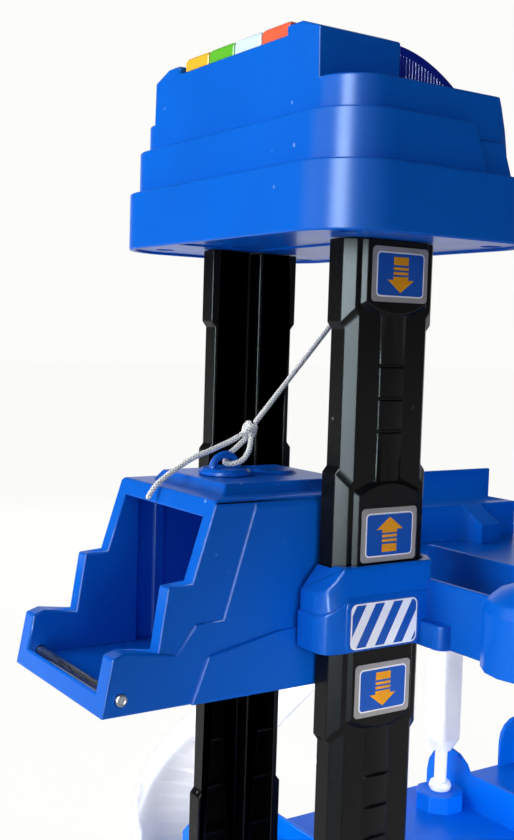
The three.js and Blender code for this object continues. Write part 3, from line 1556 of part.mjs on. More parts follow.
addPiece("cord_eyelet", lathe([
  [eyelet.bore, baseBottom - eyelet.flangeThick - seatGap / 2],
  [eyelet.flange, baseBottom - eyelet.flangeThick - seatGap / 2],
  [eyelet.flange, baseBottom - seatGap / 2], [eyelet.radius, baseBottom - seatGap / 2],
  [eyelet.radius, baseTop + eyelet.lip], [eyelet.bore, baseTop + eyelet.lip],
  [eyelet.bore, baseBottom - eyelet.flangeThick - seatGap / 2],
], cordX, 0, 0, smallSteps), white);

export default garage;
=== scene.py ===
import json
import math

import bmesh
import bpy
from mathutils import Matrix, Vector
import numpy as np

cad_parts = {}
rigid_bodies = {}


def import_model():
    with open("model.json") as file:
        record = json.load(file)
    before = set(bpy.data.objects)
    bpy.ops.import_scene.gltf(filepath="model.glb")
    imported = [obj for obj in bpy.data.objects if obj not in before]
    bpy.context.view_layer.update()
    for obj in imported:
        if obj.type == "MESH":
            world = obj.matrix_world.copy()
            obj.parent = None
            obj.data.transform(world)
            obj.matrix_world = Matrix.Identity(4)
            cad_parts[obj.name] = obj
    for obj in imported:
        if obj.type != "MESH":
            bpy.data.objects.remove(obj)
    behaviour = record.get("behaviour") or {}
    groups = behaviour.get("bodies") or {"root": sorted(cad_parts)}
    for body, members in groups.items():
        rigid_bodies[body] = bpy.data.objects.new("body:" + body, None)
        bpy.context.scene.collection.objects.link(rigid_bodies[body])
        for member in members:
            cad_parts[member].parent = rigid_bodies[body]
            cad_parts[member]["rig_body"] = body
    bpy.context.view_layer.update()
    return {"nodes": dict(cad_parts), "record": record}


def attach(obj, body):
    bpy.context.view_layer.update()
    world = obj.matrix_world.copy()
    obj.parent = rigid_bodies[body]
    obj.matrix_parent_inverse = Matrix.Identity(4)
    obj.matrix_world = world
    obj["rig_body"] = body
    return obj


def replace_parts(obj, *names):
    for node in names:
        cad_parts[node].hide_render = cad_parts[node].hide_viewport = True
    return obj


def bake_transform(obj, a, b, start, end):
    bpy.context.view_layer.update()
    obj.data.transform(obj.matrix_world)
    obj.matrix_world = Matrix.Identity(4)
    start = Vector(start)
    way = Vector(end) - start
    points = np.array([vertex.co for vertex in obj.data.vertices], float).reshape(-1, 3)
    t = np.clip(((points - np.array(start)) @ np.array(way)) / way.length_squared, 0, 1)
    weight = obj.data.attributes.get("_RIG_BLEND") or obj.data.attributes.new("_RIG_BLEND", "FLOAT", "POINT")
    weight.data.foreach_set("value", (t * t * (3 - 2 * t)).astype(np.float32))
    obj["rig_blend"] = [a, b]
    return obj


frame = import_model()
MM = 0.001
nodes = frame["nodes"]
slot_of = {row["node"]: row["material_slot"] for row in frame["record"]["subparts"]}
scene = bpy.context.scene
scene.view_settings.view_transform = "Standard"

# Camera, in the photograph's place, for an image of 514 by 840
EYE = Vector((-0.2233, -0.3067, 0.2283))
LOOK = Vector((0.5515, 0.8310, -0.0718)).normalized()
UP_HINT = Vector((0.0145, 0.0765, 0.9969))
FOCAL_PIXELS = 1125.7
IMAGE_HEIGHT = 840
SENSOR = 36


def make_camera():
    data = bpy.data.cameras.new("camera")
    data.sensor_width = SENSOR
    data.lens = SENSOR * FOCAL_PIXELS / IMAGE_HEIGHT
    data.clip_start = 0.01
    data.clip_end = 20
    camera = bpy.data.objects.new("camera", data)
    scene.collection.objects.link(camera)
    right = LOOK.cross(UP_HINT).normalized()
    up = right.cross(LOOK)
    camera.matrix_world = Matrix([
        [right.x, up.x, -LOOK.x, EYE.x],
        [right.y, up.y, -LOOK.y, EYE.y],
        [right.z, up.z, -LOOK.z, EYE.z],
        [0, 0, 0, 1],
    ])
    scene.camera = camera


make_camera()


# Meshes
def add_mesh(name, verts, faces, materials=(), indices=None, smooth=True):
    mesh = bpy.data.meshes.new(name)
    mesh.from_pydata([tuple(v) for v in verts], [], faces)
    for material in materials:
        mesh.materials.append(material)
    if indices:
        mesh.polygons.foreach_set("material_index", indices)
    mesh.polygons.foreach_set("use_smooth", [smooth] * len(mesh.polygons))
    mesh.update()
    piece = bpy.data.objects.new(name, mesh)
    scene.collection.objects.link(piece)
    return piece


SPLINE_SPLITS = 40


def spline(points, step):
    """Points about a step apart on a smooth curve through the given points, in metres."""
    ps = [Vector(p) * MM for p in points]
    ps = [2 * ps[0] - ps[1], *ps, 2 * ps[-1] - ps[-2]]
    dense = []
    for a, b, c, d in zip(ps, ps[1:], ps[2:], ps[3:]):
        for i in range(SPLINE_SPLITS):
            t = i / SPLINE_SPLITS
            dense.append(0.5 * (
                2 * b + (c - a) * t + (2 * a - 5 * b + 4 * c - d) * t * t
                + (3 * b - a - 3 * c + d) * t ** 3))
    dense.append(ps[-2])
    lengths = [0]
    for a, b in zip(dense, dense[1:]):
        lengths.append(lengths[-1] + (b - a).length)
    count = max(2, round(lengths[-1] / step))
    line, k = [], 0
    for i in range(count + 1):
        at = lengths[-1] * i / count
        while k < len(lengths) - 2 and lengths[k + 1] < at:
            k += 1
        span = lengths[k + 1] - lengths[k]
        line.append(dense[k].lerp(dense[k + 1], (at - lengths[k]) / span if span else 0))
    return line, lengths[-1]


BRAID_AROUND = 24
BRAID_STEP = 0.16 * MM
BRAID_STRANDS = 4
BRAID_PITCH = 4.2 * MM
BRAID_DEPTH = 0.2
BRAID_TIP = 0.05


def braided(name, points, radius):
    """A braided cord: a tube with rounded ends, whose surface has two crossing sets of strands."""
    line, length = spline(points, BRAID_STEP)
    last = len(line) - 1
    tangents = [
        (line[min(i + 1, last)] - line[max(i - 1, 0)]).normalized() for i in range(len(line))]
    side = tangents[0].orthogonal().normalized()
    verts, faces, heights = [], [], []
    for i, (p, t) in enumerate(zip(line, tangents)):
        side = (side - t * side.dot(t)).normalized()
        other = t.cross(side)
        along = 2 * math.pi * length * i / last / BRAID_PITCH
        end = min(i, last - i) * BRAID_STEP / radius
        round_off = math.sqrt(max(BRAID_TIP, 1 - max(0, 1 - end) ** 2))
        for j in range(BRAID_AROUND):
            angle = 2 * math.pi * j / BRAID_AROUND
            over = math.cos(BRAID_STRANDS * (angle + along))
            under = math.cos(BRAID_STRANDS * (angle - along))
            high = (1 + max(over, under)) / 2
            heights.append(high)
            r = radius * round_off * (1 - BRAID_DEPTH + BRAID_DEPTH * high)
            verts.append(p + (side * math.cos(angle) + other * math.sin(angle)) * r)
    rings = len(line)
    for i in range(rings - 1):
        for j in range(BRAID_AROUND):
            a, b = i * BRAID_AROUND + j, i * BRAID_AROUND + (j + 1) % BRAID_AROUND
            faces.append((a, b, b + BRAID_AROUND, a + BRAID_AROUND))
    faces.append(tuple(reversed(range(BRAID_AROUND))))
    faces.append(tuple((rings - 1) * BRAID_AROUND + j for j in range(BRAID_AROUND)))
    cord = add_mesh(name, verts, faces)
    relief = cord.data.attributes.new("relief", "FLOAT", "POINT")
    relief.data.foreach_set("value", heights)
    return cord, line, length


# Cords, along the route that the CAD model gives them, in millimetres
CORD_RADIUS = 0.9 * MM
HOIST = [[30.3, 0, 257.2], [5, 0, 229.1], [-20.8, 0, 200.6]]
LEAD = [[30.9, 0, 268.6], [30.9, 0, 264], [30.9, 0, 258.9]]
LOOP = [
    [-22.3, -0.6, 196.6], [-22.8, -1.3, 195.2], [-24.3, -2.4, 191.8], [-26.9, -2.8, 189.1],
    [-29.7, -1.9, 188], [-31.2, 0, 188], [-30.5, 1.6, 188.6], [-28.6, 2.7, 190.4],
    [-25.8, 2.5, 192.7], [-23.3, 1.5, 195.4], [-22.6, 0.8, 196.8],
]
TAIL = [
    [-25.7, 0.9, 196.8], [-28.3, 1.6, 195.1], [-32.4, 2.4, 193.3], [-36.1, 3, 191.7],
    [-39.5, 3.5, 190.5], [-43.3, 4, 188.6], [-47.8, 4, 186], [-51.4, 4, 183.8],
    [-54.4, 4, 181.4], [-56.5, 4, 178.8], [-57.4, 4, 177],
]
KNOT_CENTRE = Vector((-22.4, 0, 198.8))
KNOT_AXIS = Vector((0.671, 0, 0.741))
KNOT_SCALE = 0.68
KNOT_LIFT = 1.45
KNOT_STEPS = 41
KNOT_EXIT_SHARES = (0.6, 0.3, -0.05)


def knot_points():
    """A trefoil, drawn tight, with its axis along the hoist cord, and a short way out to the tail."""
    across = Vector((0, 1, 0))
    third = KNOT_AXIS.cross(across)
    points = []
    for i in range(KNOT_STEPS):
        t = 2 * math.pi * i / KNOT_STEPS
        a = (math.sin(t) + 2 * math.sin(2 * t)) * KNOT_SCALE
        b = (math.cos(t) - 2 * math.cos(2 * t)) * KNOT_SCALE
        c = -math.sin(3 * t) * KNOT_LIFT
        points.append(KNOT_CENTRE + across * a + third * b + KNOT_AXIS * c)
    toward_tail = [Vector(TAIL[0]).lerp(KNOT_CENTRE, share) for share in KNOT_EXIT_SHARES]
    return points + toward_tail


def make_cords():
    hoist, _, _ = braided("cord_hoist", HOIST, CORD_RADIUS)
    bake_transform(hoist, "root", "cabin", start=[x * MM for x in HOIST[0]], end=[x * MM for x in HOIST[-1]])
    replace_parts(hoist, "hoist_cord")
    lead, _, _ = braided("cord_to_drum", LEAD, CORD_RADIUS)
    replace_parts(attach(lead, "root"), "cord_lead")
    loop, _, _ = braided("cord_eye", LOOP, CORD_RADIUS)
    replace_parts(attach(loop, "cabin"), "cord_loop")
    knot, _, _ = braided("cord_tied", knot_points(), CORD_RADIUS)
    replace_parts(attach(knot, "cabin"), "cord_knot")
    tail, line, length = braided("cord_end", TAIL, CORD_RADIUS)
    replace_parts(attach(tail, "cabin"), "cord_tail")
    return [hoist, lead, loop, knot, tail]


cords = make_cords()


# Materials
def srgb(r, g, b):
    """A colour given in 0 to 255, as linear light."""
    return [((c / 255 + 0.055) / 1.055) ** 2.4 if c > 10 else c / 255 / 12.92 for c in (r, g, b)] + [1]


class Nodes:
    """Short calls for building a material's node tree."""

    def __init__(self, material):
        self.tree = material.node_tree
        self.bsdf = next(n for n in self.tree.nodes if n.type == "BSDF_PRINCIPLED")
        self.coords = self.tree.nodes.new("ShaderNodeTexCoord").outputs["Object"]

    def add(self, kind, inputs=(), **settings):
        node = self.tree.nodes.new(kind)
        for key, value in settings.items():
            setattr(node, key, value)
        for key, value in dict(inputs).items():
            self.put(value, node.inputs[key])
        return node

    def put(self, value, socket):
        if isinstance(value, bpy.types.NodeSocket):
            self.tree.links.new(value, socket)
        else:
            socket.default_value = value

    def noise(self, scale, detail=2, coords=None):
        return self.add("ShaderNodeTexNoise", {
            "Vector": coords or self.coords, "Scale": scale, "Detail": detail}).outputs["Fac"]

    def ramp(self, value, low, high, to_low=0.0, to_high=1.0):
        return self.add("ShaderNodeMapRange", {
            "Value": value, "From Min": low, "From Max": high, "To Min": to_low, "To Max": to_high,
        }).outputs["Result"]

    def mix(self, factor, a, b):
        node = self.add("ShaderNodeMix", data_type="RGBA")
        self.put(factor, node.inputs["Factor"])
        self.put(a, node.inputs[6])
        self.put(b, node.inputs[7])
        return node.outputs[2]

    def times(self, a, b):
        node = self.add("ShaderNodeMath", operation="MULTIPLY")
        self.put(a, node.inputs[0])
        self.put(b, node.inputs[1])
        return node.outputs[0]

    def bump(self, height, distance, strength=1.0, rounded=0.0):
        inputs = {"Height": height, "Distance": distance, "Strength": strength}
        if rounded:
            inputs["Normal"] = self.add("ShaderNodeBevel", {"Radius": rounded}, samples=4).outputs["Normal"]
        self.put(self.add("ShaderNodeBump", inputs).outputs["Normal"], self.bsdf.inputs["Normal"])


def new_material(name, metallic=0.0, roughness=0.4, ior=1.46):
    material = bpy.data.materials.new(name)
    material.use_nodes = True
    n = Nodes(material)
    n.bsdf.inputs["Metallic"].default_value = metallic
    n.bsdf.inputs["Roughness"].default_value = roughness
    n.bsdf.inputs["IOR"].default_value = ior
    return material, n


def glowing(n, radius):
    """Lets light into the surface, as deep as the radius says for each colour."""
    n.bsdf.inputs["Subsurface Weight"].default_value = 1
    n.bsdf.inputs["Subsurface Radius"].default_value = radius
    n.bsdf.inputs["Subsurface Scale"].default_value = 1


# Noise is given as its scale and detail, and a band as the values that become 0 and 1
FLOW, FLOW_BAND = (14, 3), (0.35, 0.65)
SCRATCH, SCRATCH_BAND = (420, 4), (0.705, 0.76)
SCRATCH_STRETCH, SCRATCH_STRENGTH = (1, 1, 0.22), 0.45
PATCH, PATCH_BAND = (38, 2), (0.56, 0.7)
SPECK_SCALE, SPECK_BAND = 160, (0.12, 0.05)
SPECK_AREA, SPECK_AREA_BAND = (33, 1), (0.6, 0.66)
SHEEN, SHEEN_BAND, SHEEN_SPAN = (60, 2), (0.15, 0.85), 0.03
GRAIN, GRAIN_STRENGTH = (1500, 3), 0.6
BLUE_GLOW = 1.05


def plastic(name, color, roughness, grain=0.012, uneven=0.1, wear=None, edge=0.3, specks=0.0,
            speck=(0.5, 0.7, 0.95, 1), gloss=0.5, glow=0.0):
    """Moulded plastic: faint flow marks, a fine grain and softly rounded edges. It may be scuffed,
    in the colour that wear gives, and it may be specked or let light in."""
    material, n = new_material(name, roughness=roughness)
    n.bsdf.inputs["Specular IOR Level"].default_value = gloss
    if glow:
        glowing(n, (glow * MM, glow * MM, glow * BLUE_GLOW * MM))
    dark = [c * (1 - uneven) for c in color[:3]] + [1]
    light = [min(1, c * (1 + uneven)) for c in color[:3]] + [1]
    base = n.mix(n.ramp(n.noise(*FLOW), *FLOW_BAND), dark, light)
    if wear:
        mapping = n.add("ShaderNodeMapping", {"Vector": n.coords, "Scale": SCRATCH_STRETCH})
        scratches = n.ramp(n.noise(*SCRATCH, mapping.outputs[0]), *SCRATCH_BAND)
        patches = n.ramp(n.noise(*PATCH), *PATCH_BAND)
        base = n.mix(n.times(n.times(scratches, patches), SCRATCH_STRENGTH), base, wear)
    if specks:
        dots = n.add("ShaderNodeTexVoronoi", {"Vector": n.coords, "Scale": SPECK_SCALE}).outputs["Distance"]
        few = n.ramp(n.noise(*SPECK_AREA), *SPECK_AREA_BAND)
        base = n.mix(n.times(n.times(n.ramp(dots, *SPECK_BAND), few), specks), base, speck)
    n.put(base, n.bsdf.inputs["Base Color"])
    rough = n.ramp(n.noise(*SHEEN), *SHEEN_BAND, roughness - SHEEN_SPAN, roughness + SHEEN_SPAN)
    n.put(rough, n.bsdf.inputs["Roughness"])
    n.bump(n.noise(*GRAIN), grain * MM, GRAIN_STRENGTH, edge * MM)
    return material


BLUE = srgb(0, 96, 206)
LOW_GLOSS = 0.13
blue = plastic("blue_moulded", BLUE, 0.3, wear=(0.25, 0.45, 0.85, 1), uneven=0.05, gloss=LOW_GLOSS)
head_blue = plastic(
    "blue_scuffed", BLUE, 0.32, wear=(0.3, 0.5, 0.9, 1), uneven=0.05, specks=0.35, gloss=LOW_GLOSS)
black = plastic(
    "black_moulded", srgb(12, 12, 13), 0.28, wear=(0.16, 0.16, 0.165, 1), uneven=0.2, specks=0.3,
    speck=(0.3, 0.3, 0.3, 1), gloss=LOW_GLOSS)
white = plastic("white_moulded", srgb(244, 245, 250), 0.34, uneven=0.01, glow=9)
yellow = plastic("yellow_moulded", srgb(246, 190, 42), 0.32, uneven=0.04)
green = plastic("green_moulded", srgb(96, 190, 40), 0.32, uneven=0.04)
pale = plastic("pale_moulded", srgb(214, 236, 246), 0.32, uneven=0.03)
red = plastic("red_moulded", srgb(243, 98, 62), 0.32, uneven=0.04)

TURNED_LINES, DULL_LINES = (2600, 4), (300, 4)
LINE_STRETCH, LINE_BAND, LINE_SHADE = (1, 0.08, 1), (0.3, 0.7), 0.85
LINE_SMOOTHER, LINE_ROUGHER = 0.06, 0.1


def metal(name, color, roughness, lines):
    """Metal with fine lines along Y, where the darker ones are the smoother ones."""
    material, n = new_material(name, metallic=1.0, roughness=roughness)
    mapping = n.add("ShaderNodeMapping", {"Vector": n.coords, "Scale": LINE_STRETCH})
    pattern = n.noise(*lines, mapping.outputs[0])
    dark = [c * LINE_SHADE for c in color[:3]] + [1]
    n.put(n.mix(n.ramp(pattern, *LINE_BAND), dark, color), n.bsdf.inputs["Base Color"])
    rough = n.ramp(pattern, *LINE_BAND, roughness - LINE_SMOOTHER, roughness + LINE_ROUGHER)
    n.put(rough, n.bsdf.inputs["Roughness"])
    n.bump(pattern, 0.01 * MM, 0.5, 0.15 * MM)
    return material


steel = metal("steel_turned", srgb(150, 152, 158), 0.3, TURNED_LINES)
brass = metal("brass_dull", srgb(205, 172, 96), 0.32, DULL_LINES)

MIDDLE_BAND = (0.3, 0.7)
TINT, LENS_GRAIN = (30, 2), (500, 2)
FIBRES, RELIEF_BAND, FIBRE_GLOW = (5200, 3), (0.25, 0.8), 0.3 * MM
INK, FILM_PEEL, INK_SHADE = (260, 2), (900, 2), 0.95


def make_lens_material():
    material, n = new_material("lens_tinted", roughness=0.22, ior=1.5)
    n.bsdf.inputs["Specular IOR Level"].default_value = 0.3
    tint = n.mix(n.ramp(n.noise(*TINT), *MIDDLE_BAND), srgb(4, 30, 150), srgb(10, 44, 185))
    n.put(tint, n.bsdf.inputs["Base Color"])
    n.bsdf.inputs["Transmission Weight"].default_value = 0.12
    n.bump(n.noise(*LENS_GRAIN), 0.01 * MM, 0.4, 0.2 * MM)
    return material


def make_cord_material():
    """White fibres, with painted shade darkening the gaps between the strands that the braid's relief gives.
    """
    material, n = new_material("cord_fibre", roughness=0.85)
    fibres = n.noise(*FIBRES)
    relief = n.add("ShaderNodeAttribute", attribute_name="relief").outputs["Fac"]
    strands = n.mix(n.ramp(fibres, *MIDDLE_BAND), srgb(226, 225, 221), srgb(250, 250, 247))
    # painted shade: the low parts of the braid's relief, the gaps between strands, are mixed towards grey
    n.put(n.mix(n.ramp(relief, *RELIEF_BAND), srgb(120, 120, 122), strands), n.bsdf.inputs["Base Color"])
    n.bsdf.inputs["Sheen Weight"].default_value = 0.3
    glowing(n, (FIBRE_GLOW, FIBRE_GLOW, FIBRE_GLOW))
    n.bump(fibres, 0.05 * MM, 0.7)
    return material


def make_print(name, color):
    """Printed film: an even colour with a fine orange-peel surface."""
    material, n = new_material(name, roughness=0.36)
    n.bsdf.inputs["Specular IOR Level"].default_value = 0.25
    dark = [c * INK_SHADE for c in color[:3]] + [1]
    n.put(n.mix(n.ramp(n.noise(*INK), *MIDDLE_BAND), dark, color), n.bsdf.inputs["Base Color"])
    n.bump(n.noise(*FILM_PEEL), 0.01 * MM, 0.5)
    return material


lens_material = make_lens_material()
cord_material = make_cord_material()
rubber = plastic("rubber_mat", srgb(50, 50, 54), 0.75, grain=0.03)
board = plastic("board_laminate", srgb(20, 96, 52), 0.45, grain=0.02)
print_silver = make_print("print_silver", srgb(158, 154, 152))
print_white = make_print("print_white", srgb(240, 243, 248))
print_blue = make_print("print_blue", srgb(16, 84, 178))
print_orange = make_print("print_orange", srgb(238, 160, 16))

by_slot = {
    "blue_plastic": blue, "black_plastic": black, "white_plastic": white, "yellow_plastic": yellow,
    "green_plastic": green, "pale_plastic": pale, "red_plastic": red, "clear_violet": lens_material,
    "steel": steel, "brass": brass, "rubber": rubber, "board": board, "cord": cord_material,
}
by_node = {"head_shell": head_blue, "cabin_shell": head_blue}

for name, node in nodes.items():
    material = by_node.get(name, by_slot[slot_of[name]])
    node.data.materials.clear()
    node.data.materials.append(material)
for cord in cords:
    cord.data.materials.append(cord_material)


# Copies of CAD nodes with their edges rounded
WELD = 0.001 * MM
FLAT_TURN = math.radians(0.6)
REAR_SLICE = 0.02 * MM
FLOOR_SLICE = 0.2 * MM
SHADING_WEIGHT = 90


def soften(name, width, segments=2, angle=32, raised=0.0, rear_gap=0.0):
    """A copy whose outward edges are rounded where they turn more than the angle, except on the floor.
    With no width it only gets smooth shading. Its upper half may be raised and its rear end drawn in."""
    mesh = nodes[name].data.copy()
    mesh.name = name + "_moulded"
    bm = bmesh.new()
    bm.from_mesh(mesh)
    bmesh.ops.remove_doubles(bm, verts=bm.verts, dist=WELD)
    bmesh.ops.dissolve_limit(bm, angle_limit=FLAT_TURN, verts=bm.verts, edges=bm.edges)
    if raised:
        heights = [v.co.z for v in bm.verts]
        middle = (min(heights) + max(heights)) / 2
        for v in bm.verts:
            if v.co.z > middle:
                v.co.z += raised * MM
    if rear_gap:
        rear = max(v.co.x for v in bm.verts)
        for v in bm.verts:
            if v.co.x > rear - REAR_SLICE:
                v.co.x -= rear_gap * MM
    layers = bm.edges.layers.float
    weight = layers.get("bevel_weight_edge") or layers.new("bevel_weight_edge")
    for edge in bm.edges:
        turned = edge.is_manifold and edge.is_convex and edge.calc_face_angle() > math.radians(angle)
        on_floor = max(v.co.z for v in edge.verts) < FLOOR_SLICE
        edge[weight] = 1.0 if turned and not on_floor else 0.0
    bm.to_mesh(mesh)
    bm.free()
    mesh.polygons.foreach_set("use_smooth", [True] * len(mesh.polygons))
    piece = bpy.data.objects.new(name + "_moulded", mesh)
    scene.collection.objects.link(piece)
    if width:
        bevel = piece.modifiers.new("edges", "BEVEL")
        bevel.width = width * MM
        bevel.segments = segments
        bevel.limit_method = "WEIGHT"
        bevel.use_clamp_overlap = False
        bevel.miter_outer = "MITER_ARC"
    mesh.set_sharp_from_angle(angle=math.radians(angle))
    even = piece.modifiers.new("shading", "WEIGHTED_NORMAL")
    even.keep_sharp = True
    even.weight = SHADING_WEIGHT
    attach(piece, nodes[name]["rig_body"])
    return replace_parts(piece, name)


# The pieces that show most, with widths and distances in millimetres and angles in degrees
for name in ["key_yellow", "key_green", "key_white", "key_red"]:
    soften(name, width=0.7, segments=3, raised=1.5)
soften("cabin_shell", width=0.65, segments=3, rear_gap=0.1)
soften("head_shell", width=0.6, segments=3, angle=18)

# Tinted lens behind the console, with upright ribs on its ends
LENS_FRONT, LENS_REAR, LENS_FLOOR = -4.7, 24.5, 302.3
LENS_HALF, LENS_TOP, LENS_LOW = 41.6, 317.4, 306.4
LENS_SHOULDER = 15
LENS_STEPS, RIB_LINE_STEPS = 18, 60
LENS_ROUNDING, LENS_ROUND_STEPS = 0.8, 3
RIB_PITCH, RIB_PROUD, RIB_INSET = 1.25, 0.35, 2.6
RIB_HALF = RIB_PITCH * 0.3
RIB_FOOT, RIB_SINK, RIB_LEAST = 0.3, 0.02, 1
RIB_FACES = [(0, 1, 2), (3, 5, 4), (0, 3, 4, 1), (1, 4, 5, 2), (2, 5, 3, 0)]


def lens_line(steps):
    """The lens's outline seen from the side, from its rear foot to its front top."""
    start, middle, end = (LENS_REAR, LENS_LOW), (LENS_FRONT + LENS_SHOULDER, LENS_TOP), (LENS_FRONT, LENS_TOP)
    line = []
    for i in range(steps + 1):
        t = i / steps
        line.append(tuple(
            (1 - t) ** 2 * a + 2 * t * (1 - t) * b + t * t * c for a, b, c in zip(start, middle, end)))
    return line


def add_rib(verts, faces, x, top, side):
    """One upright rib of three sides on the lens's end at that side."""
    first = len(verts)
    for z in (LENS_FLOOR + RIB_FOOT, top):
        for dx, dy in ((-RIB_HALF, 0), (RIB_HALF, 0), (0, RIB_PROUD)):
            verts.append(Vector((x + dx, side * (LENS_HALF + dy - RIB_SINK), z)) * MM)
    for face in RIB_FACES:
        faces.append(tuple(first + k for k in (face if side > 0 else face[::-1])))


def make_lens():
    line = [(LENS_REAR, LENS_FLOOR), *lens_line(LENS_STEPS), (LENS_FRONT, LENS_FLOOR)]
    count = len(line)
    verts = [Vector((x, y, z)) * MM for y in (-LENS_HALF, LENS_HALF) for x, z in line]
    faces = []
    for i in range(count):
        j = (i + 1) % count
        faces.append((i + count, j + count, j, i))
    faces += [tuple(range(count)), tuple(count + i for i in reversed(range(count)))]
    profile = lens_line(RIB_LINE_STEPS)
    x = LENS_FRONT + RIB_PITCH
    while x < LENS_REAR - RIB_PITCH:
        top = min(profile, key=lambda p: abs(p[0] - x))[1] - RIB_INSET
        if top > LENS_FLOOR + RIB_LEAST:
            for side in (-1, 1):
                add_rib(verts, faces, x, top, side)
        x += RIB_PITCH
    piece = add_mesh("lens_ribbed", verts, faces, [lens_material], smooth=False)
    bevel = piece.modifiers.new("edges", "BEVEL")
    bevel.width = LENS_ROUNDING * MM
    bevel.segments = LENS_ROUND_STEPS
    bevel.limit_method = "ANGLE"
    bevel.angle_limit = math.radians(60)
    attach(piece, "root")
    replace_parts(piece, "beacon_lens")


make_lens()

# Pin heads: a turned rim round a hollow centre, given as radius and rise over the cabin's side
PIN_X, PIN_Z, PIN_FACE = -83.4, 126.9, 31.65
PIN_PROFILE = [(0.0, 0.1), (0.95, 0.1), (1.0, 0.7), (1.2, 0.95), (1.55, 0.8), (1.75, 0.5), (1.78, 0.0)]
PIN_AROUND = 28


def make_pin_heads():
    for side, word in ((-1, "front"), (1, "rear")):
        verts, faces = [], []
        for r, rise in PIN_PROFILE:
            for j in range(PIN_AROUND):
                a = 2 * math.pi * j / PIN_AROUND
                place = (PIN_X + r * math.cos(a), side * (PIN_FACE + rise), PIN_Z + r * math.sin(a))
                verts.append(Vector(place) * MM)
        for i in range(len(PIN_PROFILE) - 1):
            low, high = i * PIN_AROUND, (i + 1) * PIN_AROUND
            for j in range(PIN_AROUND):
                k = (j + 1) % PIN_AROUND
                quad = (low + j, low + k, high + k, high + j)
                faces.append(quad if side > 0 else quad[::-1])
        piece = add_mesh("pin_head_" + word, verts, faces, [steel])
        bm = bmesh.new()
        bm.from_mesh(piece.data)
        bmesh.ops.remove_doubles(bm, verts=bm.verts, dist=WELD)
        bmesh.ops.recalc_face_normals(bm, faces=bm.faces)
        bm.to_mesh(piece.data)
        bm.free()
        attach(piece, "cabin")


make_pin_heads()

# The larger mouldings, and the pieces that only need smooth shading
for name, width, angle in [
        ("upper_deck", 0.6, 25), ("base_deck", 0.5, 25), ("front_column", 0.3, 15),
        ("rear_column", 0.3, 15)]:
    soften(name, width, angle=angle)
for name in ["ramp", "cord_hook", "floor_pin", "head_base"]:
    soften(name, width=0)


# Printed labels on the front column and the collar
def outline_box(width, height, radius, steps=6):
    """A rounded rectangle round the origin, anticlockwise."""
    points = []
    for cx, cz, start in ((1, -1, -90), (1, 1, 0), (-1, 1, 90), (-1, -1, 180)):
        for i in range(steps + 1):
            a = math.radians(start + 90 * i / steps)
            points.append((
                cx * (width / 2 - radius) + radius * math.cos(a),
                cz * (height / 2 - radius) + radius * math.sin(a)))
    return points


def clip(polygon, region):
    """The part of a polygon inside a convex anticlockwise region."""
    for (ax, az), (bx, bz) in zip(region, region[1:] + region[:1]):
        kept = []
        for (px, pz), (qx, qz) in zip(polygon, polygon[1:] + polygon[:1]):
            p_side = (bx - ax) * (pz - az) - (bz - az) * (px - ax)
            q_side = (bx - ax) * (qz - az) - (bz - az) * (qx - ax)
            if p_side >= 0:
                kept.append((px, pz))
            if p_side * q_side < 0:
                t = p_side / (p_side - q_side)
                kept.append((px + (qx - px) * t, pz + (qz - pz) * t))
        polygon = kept
        if not polygon:
            break
    return polygon


class Label:
    """Thin printed layers, one on another, on a plate that faces -Y."""

    def __init__(self, centre_x, centre_z, plane):
        self.centre = (centre_x, centre_z)
        self.plane = plane
        self.verts, self.faces, self.indices, self.materials = [], [], [], []

    def layer(self, outline, back, front, material):
        if material not in self.materials:
            self.materials.append(material)
        count, first = len(outline), len(self.verts)
        for y in (self.plane - back, self.plane - front):
            self.verts += [Vector((self.centre[0] + x, y, self.centre[1] + z)) * MM for x, z in outline]
        made = [
            tuple(first + count + i for i in range(count)),
            tuple(first + i for i in reversed(range(count))),
        ]
        for i in range(count):
            j = (i + 1) % count
            made.append((first + i, first + j, first + count + j, first + count + i))
        self.faces += made
        self.indices += [self.materials.index(material)] * len(made)

    def build(self, name):
        piece = add_mesh(name, self.verts, self.faces, self.materials, self.indices, smooth=False)
        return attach(piece, "root")


# Label sizes in millimetres, with backs and fronts measured outward from the face that carries them
LAYER = 0.06
PLATE_BACK = -0.02
COLUMN_FACE = -44.8
LABEL_WIDTH, LABEL_HEIGHT, LABEL_CORNER = 21.6, 16.5, 1.3
LABEL_THICK, LABEL_SUNK = 0.3, 0.2
WHITE_INSET, WHITE_CORNER = 3, 1.5
BLUE_INSET, BLUE_CORNER = 3.9, 1.1
ARROW_HALF, ARROW_BARS = 2.9, [(-5.3, -2.9), (-2.2, -1.4), (-0.8, 0)]
ARROW_FOOT, ARROW_NECK, ARROW_TIP, ARROW_WING = 0.6, 1.6, 5.4, 5.2


